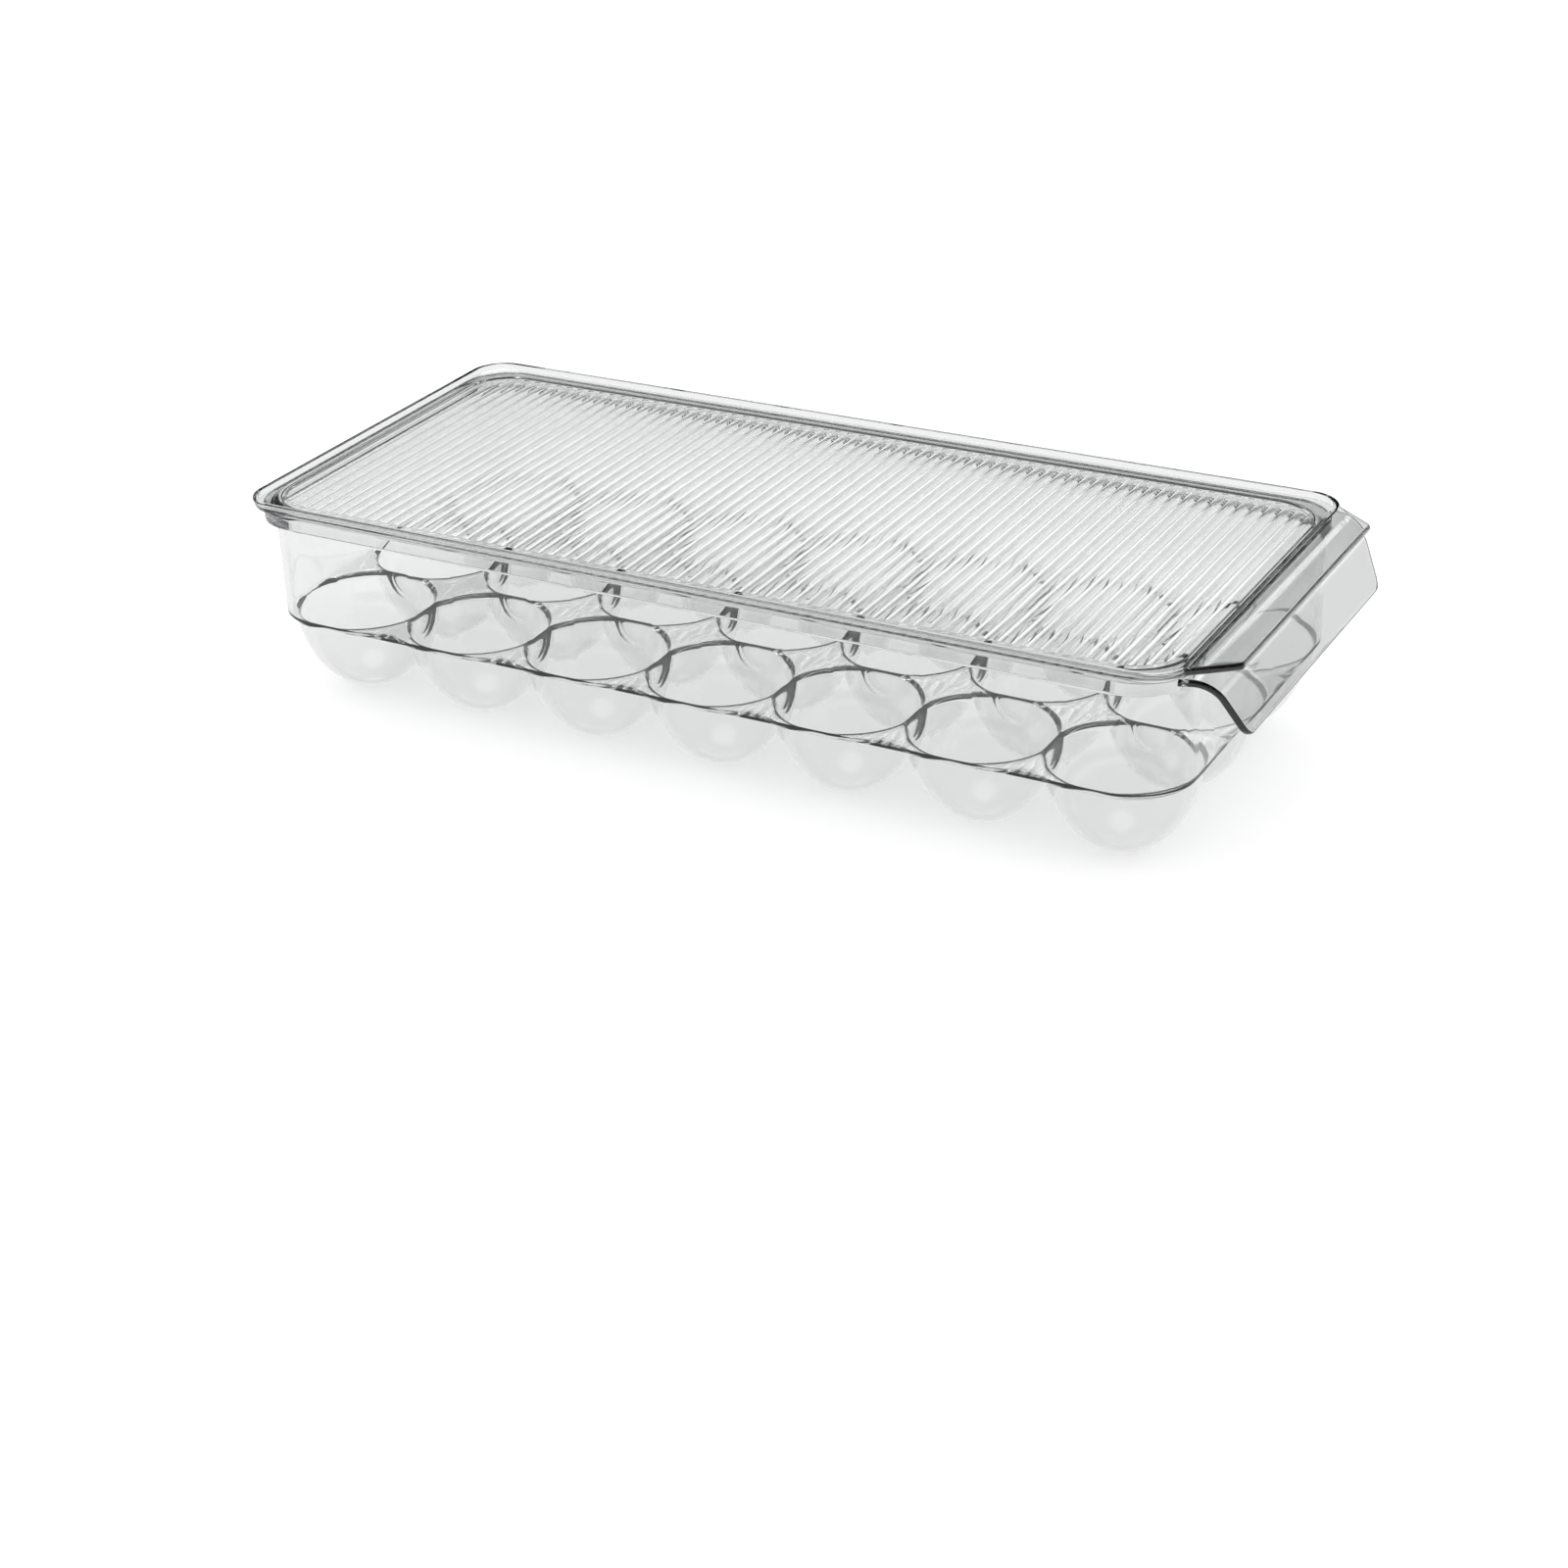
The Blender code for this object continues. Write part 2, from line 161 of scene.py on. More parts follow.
@dataclass(frozen=True)
class Outline:
    """A rectangle with rounded corners, centred on the origin.

    Attributes:
        half_length: Half size along X.
        half_width: Half size along Y.
        radius: Corner radius.
    """

    half_length: float
    half_width: float
    radius: float

    def inset(self, distance: float) -> "Outline":
        """The outline moved inwards all round, with the same corner centres."""
        return Outline(self.half_length - distance, self.half_width - distance, self.radius - distance)

    def grown(self, length: float, width: float, radius: float) -> "Outline":
        """The outline with its half length and half width grown, and a new corner radius."""
        return Outline(self.half_length + length, self.half_width + width, radius)

    def blended(self, other: "Outline", share: float) -> "Outline":
        """The outline that lies a share of the way from this one to the other."""
        return Outline(
            self.half_length + (other.half_length - self.half_length) * share,
            self.half_width + (other.half_width - self.half_width) * share,
            self.radius + (other.radius - self.radius) * share,
        )

    def points(self, steps: int) -> list[tuple[float, float]]:
        """Points round the outline, anticlockwise, with each corner in a number of steps."""
        found = []
        for quarter, (side_x, side_y) in enumerate(((1, 1), (-1, 1), (-1, -1), (1, -1))):
            centre_x = side_x * (self.half_length - self.radius)
            centre_y = side_y * (self.half_width - self.radius)
            for step in range(steps + 1):
                angle = (quarter + step / steps) * QUARTER_TURN
                along, across = self.radius * math.cos(angle), self.radius * math.sin(angle)
                found.append((centre_x + along, centre_y + across))
        return found

    def depth_inside(self, x: float, y: float) -> float:
        """How far a point lies inside the outline, or less than 0 outside it."""
        beyond_x = abs(x) - (self.half_length - self.radius)
        beyond_y = abs(y) - (self.half_width - self.radius)
        outside = math.hypot(max(beyond_x, 0), max(beyond_y, 0))
        return self.radius - outside - min(max(beyond_x, beyond_y), 0)

    def reach(self, start: Vector, heading: Vector) -> float:
        """How far it is from a point inside to the outline along a heading."""
        spans = []
        for axis, half in enumerate((self.half_length, self.half_width)):
            if abs(heading[axis]) > MERGE_DISTANCE:
                spans.append((math.copysign(half, heading[axis]) - start[axis]) / heading[axis])
        span = min(spans)
        hit = start + heading * span
        core_x = self.half_length - self.radius
        core_y = self.half_width - self.radius
        if abs(hit.x) <= core_x or abs(hit.y) <= core_y:
            return span
        centre = Vector((math.copysign(core_x, hit.x), math.copysign(core_y, hit.y)))
        away = start - centre
        along = away.dot(heading)
        return -along + math.sqrt(along**2 - away.length_squared + self.radius**2)

    def carry(self, x: float, y: float, other: "Outline") -> tuple[float, float]:
        """Move a point on this outline to the matching place on another one."""
        core_x = self.half_length - self.radius
        core_y = self.half_width - self.radius
        other_x = other.half_length - other.radius
        other_y = other.half_width - other.radius
        beyond_x = max(abs(x) - core_x, 0)
        beyond_y = max(abs(y) - core_y, 0)
        arm = math.hypot(beyond_x, beyond_y)
        new_x = min(abs(x) / core_x, 1) * other_x + beyond_x / arm * other.radius
        new_y = min(abs(y) / core_y, 1) * other_y + beyond_y / arm * other.radius
        return (math.copysign(new_x, x), math.copysign(new_y, y))


def quarter_arc(steps: int, skip_first: bool = False) -> list[tuple[float, float]]:
    """Sine and one minus cosine of a quarter turn, for rounding an edge.

    Args:
        steps: How many straight steps stand for the arc.
        skip_first: Leave out the point at the start of the arc.

    Returns:
        Pairs that both run from 0 to 1.
    """
    turns = [step / steps * QUARTER_TURN for step in range(1 if skip_first else 0, steps + 1)]
    return [(math.sin(turn), 1 - math.cos(turn)) for turn in turns]


def bridge_rings(shape: bmesh.types.BMesh, rings: list[list[bmesh.types.BMVert]]) -> None:
    """Join closed rings of equal length with quads."""
    for inner, outer in zip(rings, rings[1:]):
        for index in range(len(inner)):
            after = (index + 1) % len(inner)
            shape.faces.new((inner[index], inner[after], outer[after], outer[index]))


def object_from_bmesh(name: str, shape: bmesh.types.BMesh) -> bpy.types.Object:
    """Turn a bmesh into an object in the scene and free the bmesh."""
    mesh = bpy.data.meshes.new(name)
    shape.to_mesh(mesh)
    shape.free()
    thing = bpy.data.objects.new(name, mesh)
    bpy.context.scene.collection.objects.link(thing)
    return thing


def closed_loft(name: str, rings: list[Ring]) -> bpy.types.Object:
    """A closed solid through rings of equal length, with its faces pointing out."""
    shape = bmesh.new()
    made = [[shape.verts.new(point) for point in ring] for ring in rings]
    bridge_rings(shape, made)
    shape.faces.new(made[0][::-1])
    shape.faces.new(made[-1])
    bmesh.ops.recalc_face_normals(shape, faces=shape.faces)
    return object_from_bmesh(name, shape)


def loft_outlines(name: str, sections: Iterable[tuple[Outline, float]], steps: int) -> bpy.types.Object:
    """A closed solid through rounded rectangles, given as outline and height."""
    rings = [[(x, y, height) for x, y in outline.points(steps)] for outline, height in sections]
    return closed_loft(name, rings)


def freeze(thing: bpy.types.Object) -> bpy.types.Object:
    """Replace an object's mesh by its evaluated mesh, and drop its modifiers."""
    depsgraph = bpy.context.evaluated_depsgraph_get()
    solid = bpy.data.meshes.new_from_object(thing.evaluated_get(depsgraph))
    thing.modifiers.clear()
    thing.data = solid
    return thing


def unite(body: bpy.types.Object, others: list[bpy.types.Object]) -> bpy.types.Object:
    """Weld other solids into a body, then delete them."""
    for other in others:
        joint = body.modifiers.new("weld", "BOOLEAN")
        joint.operation = "UNION"
        joint.solver = "EXACT"
        joint.object = other
    freeze(body)
    for other in others:
        bpy.data.objects.remove(other, do_unlink=True)
    return body


def smooth(thing: bpy.types.Object) -> bpy.types.Object:
    """Shade the rounded faces smooth, and keep flat faces flat right up to their rounded edges."""
    thing.data.shade_smooth()
    thing.data.set_sharp_from_angle(angle=SMOOTH_ANGLE)
    flats = thing.modifiers.new("flat faces", "WEIGHTED_NORMAL")
    flats.mode = "FACE_AREA"
    flats.weight = 100
    flats.keep_sharp = True
    return freeze(thing)


def rounded_in(
    outline: Outline, height: float, across: float, up: float, steps: int
) -> list[tuple[Outline, float]]:
    """Sections of a rounded edge that starts level and ends upright, on the outline.

    Args:
        outline: Outline where the face is upright.
        height: Height of the level face.
        across: How far inwards the rounding starts, outwards where it is negative.
        up: How far it rises.
        steps: Steps in the rounding.

    Returns:
        Outlines with their heights.
    """
    arc = quarter_arc(steps)
    return [(outline.inset(across * (1 - rise)), height + up * run) for rise, run in arc]


def rounded_out(
    outline: Outline, height: float, across: float, up: float, steps: int
) -> list[tuple[Outline, float]]:
    """Sections of a rounded edge that starts upright, on the outline, and ends level.

    Args:
        outline: Outline where the face is upright.
        height: Height of the level face.
        across: How far inwards the rounding ends, outwards where it is negative.
        up: How far above the level face it starts.
        steps: Steps in the rounding.

    Returns:
        Outlines with their heights.
    """
    arc = quarter_arc(steps)
    return [(outline.inset(across * run), height + up * (1 - rise)) for rise, run in arc]


@dataclass(frozen=True)
class ClearPlastic:
    """Clear styrene plastic, injection moulded in a polished tool.

    Attributes:
        name: Name of the material.
        tint: Colour of light that has gone through a thick piece.
        tint_density: How strongly the thickness tints, per metre. At 0 the colour alone tints.
        colour: Colour of the light that goes through a surface.
        ior: Index of refraction, a little under the 1.59 of plain styrene.
        roughness: Surface roughness of the polished tool.
        flow_size: Size of the slow waves that the flowing melt leaves, in metres.
        flow_height: Height of those waves, in metres.
        shadow: How much light a shadow ray keeps, as an sRGB hex code.
    """

    name: str
    tint: str = "bcc1c1"
    tint_density: float = 30.0
    colour: str = "ffffff"
    ior: float = 1.57
    roughness: float = 0.015
    flow_size: float = 0.03
    flow_height: float = 0.00001
    shadow: str = "fefefe"

    def material(self) -> bpy.types.Material:
        """Build the material: glassy gloss, faint grey in the thick edges, slow waves of the melt."""
        made = bpy.data.materials.new(self.name)
        made.use_nodes = True
        tree = made.node_tree
        tree.nodes.clear()
        place = add_node(tree, "ShaderNodeTexCoord")
        flow = add_node(
            tree,
            "ShaderNodeTexNoise",
            Vector=place.outputs["Object"],
            Scale=1 / self.flow_size,
            Detail=1.0,
            Roughness=0.4,
        )
        height = flow.outputs["Fac"]
        bump = add_node(tree, "ShaderNodeBump", Height=height, Strength=1.0, Distance=self.flow_height)
        gloss = add_node(
            tree,
            "ShaderNodeBsdfPrincipled",
            Base_Color=linear_colour(self.colour),
            Roughness=self.roughness,
            IOR=self.ior,
            Normal=bump.outputs["Normal"],
        )
        gloss.inputs["Transmission Weight"].default_value = 1.0
        clear = add_node(tree, "ShaderNodeBsdfTransparent", Color=linear_colour(self.shadow))
        path = add_node(tree, "ShaderNodeLightPath")
        surface = add_node(
            tree,
            "ShaderNodeMixShader",
            in0=path.outputs["Is Shadow Ray"],
            in1=gloss.outputs["BSDF"],
            in2=clear.outputs["BSDF"],
        )
        output = add_node(tree, "ShaderNodeOutputMaterial", Surface=surface.outputs["Shader"])
        if self.tint_density > 0:
            tint = linear_colour(self.tint)
            depth = add_node(tree, "ShaderNodeVolumeAbsorption", Color=tint, Density=self.tint_density)
            tree.links.new(depth.outputs["Volume"], output.inputs["Volume"])
        return made


def dress(piece: bpy.types.Object, *finishes: ClearPlastic) -> None:
    """Give a piece its materials, in the order of their slots."""
    piece.data.materials.clear()
    for finish in finishes:
        piece.data.materials.append(finish.material())


def add_to_rings(
    rings: list[Ring], places: list[tuple[float, float]], centre: Vector, heading: Vector
) -> None:
    """Add one point to each ring.

    Args:
        rings: The rings, from the axis outwards.
        places: Distance from the axis and height of each ring's point.
        centre: The axis.
        heading: Which way from the axis the points lie.
    """
    for ring, (across, height) in zip(rings, places):
        spot = centre + heading * across
        ring.append((spot.x, spot.y, height))


@dataclass(frozen=True)
class CupCells:
    """The field of egg cups: one square cell for each cup, with its top and its underside.

    A cup is a bowl that is cut flat where a thin web parts it from its neighbour. Every cell is a set
    of rings round the cup's axis, so that cells meet point for point.

    Attributes:
        pitch: Distance between cup axes.
        columns: Number of cups along X.
        rows: Number of cups along Y.
        rim_radius: Radius of a bowl's inside just below the deck.
        outer_radius: Radius of a bowl's outside at the deck.
        depth: Depth of a cup below the deck.
        wall: Wall thickness of a bowl.
        roundness: Exponent of the bowl's section, 2 for an ellipse.
        web: Thickness of the web between two cups.
        rim_rounding: How far the rounded rim runs outwards where there is room for it.
        rim_drop: Height of the rounded rim.
        crease_rounding: How softly the flat web runs into the bowl.
        deck_thickness: Thickness of the deck.
        foot_rounding: Rounding under the outer wall.
        mouth: Inside outline of the tray.
        wall_outline: Outside outline of the tray.
        rays: Points round each ring, a multiple of 8.
        bowl_rings: Rings down the inside of a bowl.
        rim_rings: Rings over the rim.
        under_rings: Rings up the outside of a bowl.
        edge_rings: Rings from the bowl to the cell's edge, under the deck.
    """

    pitch: float
    columns: int
    rows: int
    rim_radius: float
    outer_radius: float
    depth: float
    wall: float
    roundness: float
    web: float
    rim_rounding: float
    rim_drop: float
    crease_rounding: float
    deck_thickness: float
    foot_rounding: float
    mouth: Outline
    wall_outline: Outline
    rays: int = 80
    bowl_rings: int = 20
    rim_rings: int = 4
    under_rings: int = 18
    edge_rings: int = 4

    @property
    def deck_top(self) -> float:
        """Height of the deck's top face."""
        return self.depth + self.wall

    def centre(self, column: int, row: int) -> Vector:
        """Axis of a cup."""
        steps_along, steps_across = column - (self.columns - 1) / 2, row - (self.rows - 1) / 2
        return Vector((steps_along * self.pitch, steps_across * self.pitch))

    def neighbours(self, column: int, row: int) -> list[Axis]:
        """The ways in which a cup has another cup beside it."""
        beside = []
        for axis in Axis:
            step_x, step_y = axis.value
            if 0 <= column + step_x < self.columns and 0 <= row + step_y < self.rows:
                beside.append(axis)
        return beside

    def headings(self, column: int, row: int, outer: Outline) -> list[tuple[Vector, float]]:
        """Headings round a cup, with one at each corner of its cell, and how far the cell's edge is.

        Args:
            column: The cup's column.
            row: The cup's row.
            outer: The outline that ends the cell where there is no neighbour.

        Returns:
            Unit headings and distances, anticlockwise from +X.
        """
        centre = self.centre(column, row)
        beside = self.neighbours(column, row)
        spans = []
        for axis in Axis:
            way = Vector(axis.value)
            spans.append(self.pitch / 2 if axis in beside else outer.reach(centre, way))
        steps = self.rays // 8
        found = []
        for quarter in range(4):
            this_span, next_span = spans[quarter], spans[(quarter + 1) % 4]
            corner = math.atan2(next_span, this_span)
            parts = [(corner * step / steps) for step in range(steps)]
            parts += [corner + (QUARTER_TURN - corner) * step / steps for step in range(steps)]
            for part in parts:
                angle = quarter * QUARTER_TURN + part
                heading = Vector((math.cos(angle), math.sin(angle)))
                limits = [outer.reach(centre, heading)]
                for axis in beside:
                    facing = heading.dot(Vector(axis.value))
                    if facing > MERGE_DISTANCE:
                        limits.append(self.pitch / 2 / facing)
                found.append((heading, min(limits)))
        return found

    def flat_limit(self, heading: Vector, beside: list[Axis]) -> float:
        """How far along a heading the nearest web's face is, or a length past all of them."""
        flat = (self.pitch - self.web) / 2
        facings = [heading.dot(Vector(axis.value)) for axis in beside]
        return min((flat / facing for facing in facings if facing > LEAST_FACING), default=1.0)

    def soft_least(self, first: float, second: float) -> float:
        """The smaller of two lengths, with a rounded turn between them."""
        share = min(max(0.5 + 0.5 * (second - first) / self.crease_rounding, 0), 1)
        return second + (first - second) * share - self.crease_rounding * share * (1 - share)

    def bowl_radius(self, down: float, radius: float, depth: float) -> float:
        """Radius of a bowl at a depth below the deck."""
        fill = min(down / depth, 1)
        return radius * (1 - fill**self.roundness) ** (1 / self.roundness)

    def bowl_depth(self, across: float, radius: float, depth: float) -> float:
        """Depth below the deck of a bowl's surface at a distance from its axis."""
        fill = min(across / radius, 1)
        return depth * (1 - fill**self.roundness) ** (1 / self.roundness)

    def top_rings(self, column: int, row: int) -> list[Ring]:
        """Rings of a cell's top, from the bottom of the cup out to the edge of the cell."""
        centre = self.centre(column, row)
        beside = self.neighbours(column, row)
        count = self.bowl_rings + self.rim_rings + 2
        rings: list[Ring] = [[] for _ in range(count)]
        for heading, edge in self.headings(column, row, self.mouth):
            flat = self.flat_limit(heading, beside)
            rim = self.soft_least(self.rim_radius, flat)
            rounding = min(self.rim_rounding, edge - rim)
            places = []
            for ring in range(self.bowl_rings + 1):
                turn = QUARTER_TURN * (1 - ring / self.bowl_rings)
                share = math.sin(turn) ** (2 / self.roundness)
                down = self.rim_drop + (self.depth - self.rim_drop) * share
                across = self.soft_least(self.bowl_radius(down, self.rim_radius, self.depth), flat)
                places.append((max(across, 0) if ring else 0, self.deck_top - down))
            start = places[-1][0]
            for rise, run in quarter_arc(self.rim_rings, skip_first=True):
                across = start + (rim + rounding - start) * run
                places.append((across, self.deck_top - self.rim_drop * (1 - rise)))
            places.append((edge, self.deck_top))
            add_to_rings(rings, places, centre, heading)
        return rings

    def deck_underside(self, x: float, y: float) -> float:
        """Height of the deck's underside, which rounds up into the outer wall."""
        low = self.deck_top - self.deck_thickness
        inside = self.wall_outline.depth_inside(x, y)
        if inside >= self.foot_rounding:
            return low
        across = self.foot_rounding - max(inside, 0)
        return low + self.foot_rounding - math.sqrt(self.foot_rounding**2 - across**2)

    def outside_at(self, turn: float) -> tuple[float, float]:
        """Distance from the axis and height of a bowl's outside, at a turn up from its foot."""
        across = self.outer_radius * math.sin(turn) ** (2 / self.roundness)
        return across, self.deck_top - self.bowl_depth(across, self.outer_radius, self.deck_top)

    def has_met(self, centre: Vector, heading: Vector, edge: float, turn: float) -> bool:
        """Whether a bowl's outside has met the deck's underside or the cell's edge at a turn."""
        across, height = self.outside_at(turn)
        spot = centre + heading * across
        return across >= edge or height >= self.deck_underside(spot.x, spot.y)

    def under_rings_of(self, column: int, row: int) -> list[Ring]:
        """Rings of a cell's underside, from the foot of the bowl out to the edge of the cell."""
        centre = self.centre(column, row)
        fine = FINE_SEARCH * self.under_rings
        turns = [QUARTER_TURN * step / fine for step in range(fine + 1)]
        rings: list[Ring] = [[] for _ in range(self.under_rings + self.edge_rings + 1)]
        for heading, edge in self.headings(column, row, self.wall_outline):
            met = (turn for turn in turns if self.has_met(centre, heading, edge, turn))
            ending = next(met, QUARTER_TURN)
            ending = self.sharpened_end(centre, heading, edge, ending - QUARTER_TURN / fine, ending)
            places = []
            for ring in range(self.under_rings + 1):
                places.append(self.outside_at(ending * ring / self.under_rings))
            start = min(places[-1][0], edge)
            for _, run in quarter_arc(self.edge_rings, skip_first=True):
                across = edge - (edge - start) * (1 - run)
                spot = centre + heading * across
                bowl = self.deck_top - self.bowl_depth(across, self.outer_radius, self.deck_top)
                places.append((across, min(self.deck_underside(spot.x, spot.y), bowl)))
            add_to_rings(rings, places, centre, heading)
        return rings

    def sharpened_end(
        self, centre: Vector, heading: Vector, edge: float, low: float, high: float
    ) -> float:
        """Find, by halving, where a bowl's outside meets the deck's underside or the cell's edge."""
        for _ in range(HALVINGS):
            middle = (low + high) / 2
            if self.has_met(centre, heading, edge, middle):
                high = middle
            else:
                low = middle
        return (low + high) / 2

    def cell(self, name: str, column: int, row: int) -> bpy.types.Object:
        """One cell as an open mesh round its own axis, top and underside."""
        centre = self.centre(column, row)
        shape = bmesh.new()
        for rings in (self.top_rings(column, row), self.under_rings_of(column, row)):
            made = []
            for ring in rings:
                made.append([shape.verts.new((x - centre.x, y - centre.y, z)) for x, y, z in ring])
            bridge_rings(shape, made)
        return object_from_bmesh(name, shape)

    def field(self) -> bpy.types.Object:
        """All the cells, set out by a node tree that picks the right kind of cell for each place."""
        kinds = bpy.data.collections.new("cup_cell_kinds")
        for column_kind, column in enumerate((0, 1, self.columns - 1)):
            for row_kind, row in enumerate((0, 1, self.rows - 1)):
                cell = self.cell(f"cup_cell_{column_kind}{row_kind}", column, row)
                bpy.context.scene.collection.objects.unlink(cell)
                kinds.objects.link(cell)
        values = {
            "Cell kinds": kinds,
            "Pitch": self.pitch,
            "Columns": self.columns,
            "Rows": self.rows,
            "Merge distance": MERGE_DISTANCE,
        }
        cups = laid_out("cup_field", self.layout_tree(), values)
        for cell in list(kinds.objects):
            bpy.data.objects.remove(cell, do_unlink=True)
        bpy.data.collections.remove(kinds)
        return cups

    def layout_tree(self) -> bpy.types.NodeTree:
        """Node tree that sets one cell on each point of a grid, by its place at an edge or within."""
        tree = new_tree(
            "cup_layout",
            {
                "Cell kinds": "NodeSocketCollection",
                "Pitch": "NodeSocketFloat",
                "Columns": "NodeSocketInt",
                "Rows": "NodeSocketInt",
                "Merge distance": "NodeSocketFloat",
                "Material": "NodeSocketMaterial",
            },
        )
        given = add_node(tree, "NodeGroupInput").outputs
        spans = []
        ends = []
        for name in ("Columns", "Rows"):
            span = maths(tree, "MULTIPLY", maths(tree, "SUBTRACT", given[name], 1.0), given["Pitch"])
            spans.append(span)
            ends.append(maths(tree, "MULTIPLY", span, NEARLY_HALF))
        grid = add_node(
            tree,
            "GeometryNodeMeshGrid",
            Size_X=spans[0],
            Size_Y=spans[1],
            Vertices_X=given["Columns"],
            Vertices_Y=given["Rows"],
        )
        place = parts_of(tree, add_node(tree, "GeometryNodeInputPosition").outputs[0])
        kinds = []
        for along, end in zip(place, ends):
            at_end = maths(tree, "GREATER_THAN", maths(tree, "ABSOLUTE", along), end)
            kinds.append(maths(tree, "MULTIPLY_ADD", at_end, maths(tree, "SIGN", along), 1.0))
        number = maths(tree, "MULTIPLY_ADD", kinds[0], 3.0, kinds[1])
        cells = add_node(
            tree, "GeometryNodeCollectionInfo", in0=given["Cell kinds"], in1=True, in2=True
        )
        placed = add_node(
            tree,
            "GeometryNodeInstanceOnPoints",
            Points=grid.outputs["Mesh"],
            Instance=cells.outputs[0],
            Pick_Instance=True,
            Instance_Index=number,
        )
        merged_input = add_node(tree, "GeometryNodeRealizeInstances", in0=placed.outputs[0])
        merged = add_node(
            tree,
            "GeometryNodeMergeByDistance",
            Geometry=merged_input.outputs[0],
            Distance=given["Merge distance"],
        )
        finish_tree(tree, merged.outputs[0], given["Material"])
        return tree


def new_tree(name: str, inputs: dict[str, str]) -> bpy.types.NodeTree:
    """A geometry node tree with named inputs and one geometry output.

    Args:
        name: Name of the tree.
        inputs: Socket types by input name.

    Returns:
        The empty tree.
    """
    tree = bpy.data.node_groups.new(name, "GeometryNodeTree")
    tree.interface.new_socket("Geometry", in_out="OUTPUT", socket_type="NodeSocketGeometry")
    for label, kind in inputs.items():
        tree.interface.new_socket(label, in_out="INPUT", socket_type=kind)
    return tree


def finish_tree(
    tree: bpy.types.NodeTree, geometry: bpy.types.NodeSocket, material: bpy.types.NodeSocket
) -> None:
    """End a geometry node tree in Realize Instances and Set Material."""
    real = add_node(tree, "GeometryNodeRealizeInstances", in0=geometry)
    dressed = add_node(tree, "GeometryNodeSetMaterial", Geometry=real.outputs[0], Material=material)
    add_node(tree, "NodeGroupOutput", in0=dressed.outputs[0])


def laid_out(name: str, tree: bpy.types.NodeTree, values: dict) -> bpy.types.Object:
    """Make an object that a geometry node tree lays out, frozen to a plain mesh.

    Args:
        name: Name of the object.
        tree: The node tree.
        values: Values by input name, set by the identifiers of the inputs.

    Returns:
        The object.
    """
    carrier = object_from_bmesh(name, bmesh.new())
    layout = carrier.modifiers.new("layout", "NODES")
    layout.node_group = tree
    for item in tree.interface.items_tree:
        if item.in_out == "INPUT" and item.name in values:
            layout[item.identifier] = values[item.name]
    return freeze(carrier)


@dataclass(frozen=True)
class Handle:
    """The pull handle: a sheet that leaves the flange level, bends down and narrows.

    Attributes:
        thickness: Thickness of the sheet.
        start_x: Where the sheet starts, inside the wall.
        bend_x: Where the bend starts.
        level: Height of the middle of the level part.
        bend_radius: Radius of the bend at the middle of the sheet.
        bend_degrees: How far the sheet bends down.
        drop_run: Length of the straight part below the bend.
        root_half_width: Half width where the sheet starts.
        end_half_width: Half width at the lower edge.
        corner_radius: Radius of the two lower corners.
        edge_rounding: Rounding of all its edges.
        bend_steps: Steps in the bend.
        corner_steps: Steps in a lower corner.
        edge_steps: Steps in the rounding of the edges.
    """

    thickness: float
    start_x: float
    bend_x: float
    level: float
    bend_radius: float
    bend_degrees: float
    drop_run: float
    root_half_width: float
    end_half_width: float
    corner_radius: float
    edge_rounding: float
    bend_steps: int = 24
    corner_steps: int = 10
    edge_steps: int = 6

    def stations(self) -> list[tuple[float, float, float, float]]:
        """Distance, x, height and slope at each station along the sheet's middle."""
        bend = math.radians(self.bend_degrees)
        found = [(0.0, self.start_x, self.level, 0.0)]
        for step in range(self.bend_steps + 1):
            angle = bend * step / self.bend_steps
            along = self.bend_x - self.start_x + self.bend_radius * angle
            x = self.bend_x + self.bend_radius * math.sin(angle)
            height = self.level - self.bend_radius * (1 - math.cos(angle))
            found.append((along, x, height, angle))
        end_along, end_x, end_height, _ = found[-1]
        straight, edge = self.drop_run - self.corner_radius, self.drop_run - self.edge_rounding
        corner = quarter_arc(self.corner_steps)
        runs = [min(straight + self.corner_radius * rise, edge) for rise, _ in corner]
        for rise, _ in quarter_arc(self.edge_steps, skip_first=True):
            runs.append(edge + self.edge_rounding * rise)
        for run in runs:
            x, height = end_x + run * math.cos(bend), end_height - run * math.sin(bend)
            found.append((end_along + run, x, height, bend))
        return found

    def solid(self) -> bpy.types.Object:
        """The handle as a closed solid with rounded edges."""
        stations = self.stations()
        total = stations[-1][0]
        rings = []
        seen = -1.0
        for along, x, height, slope in stations:
            if along - seen < MERGE_DISTANCE:
                continue
            seen = along
            share = along / total
            half_width = self.root_half_width + (self.end_half_width - self.root_half_width) * share
            into_corner = max(0.0, along - (total - self.corner_radius))
            half_width -= self.corner_radius - math.sqrt(max(0.0, self.corner_radius**2 - into_corner**2))
            into_edge = max(0.0, along - (total - self.edge_rounding))
            half_thickness = self.thickness / 2 - self.edge_rounding
            half_thickness += math.sqrt(max(0.0, self.edge_rounding**2 - into_edge**2))
            rounding = min(self.edge_rounding, half_thickness * NEARLY_ALL)
            section = Outline(half_thickness, half_width, rounding)
            ring = []
            for across, y in section.points(self.edge_steps):
                ring.append((x + across * math.sin(slope), y, height + across * math.cos(slope)))
            rings.append(ring)
        return closed_loft("handle", rings)


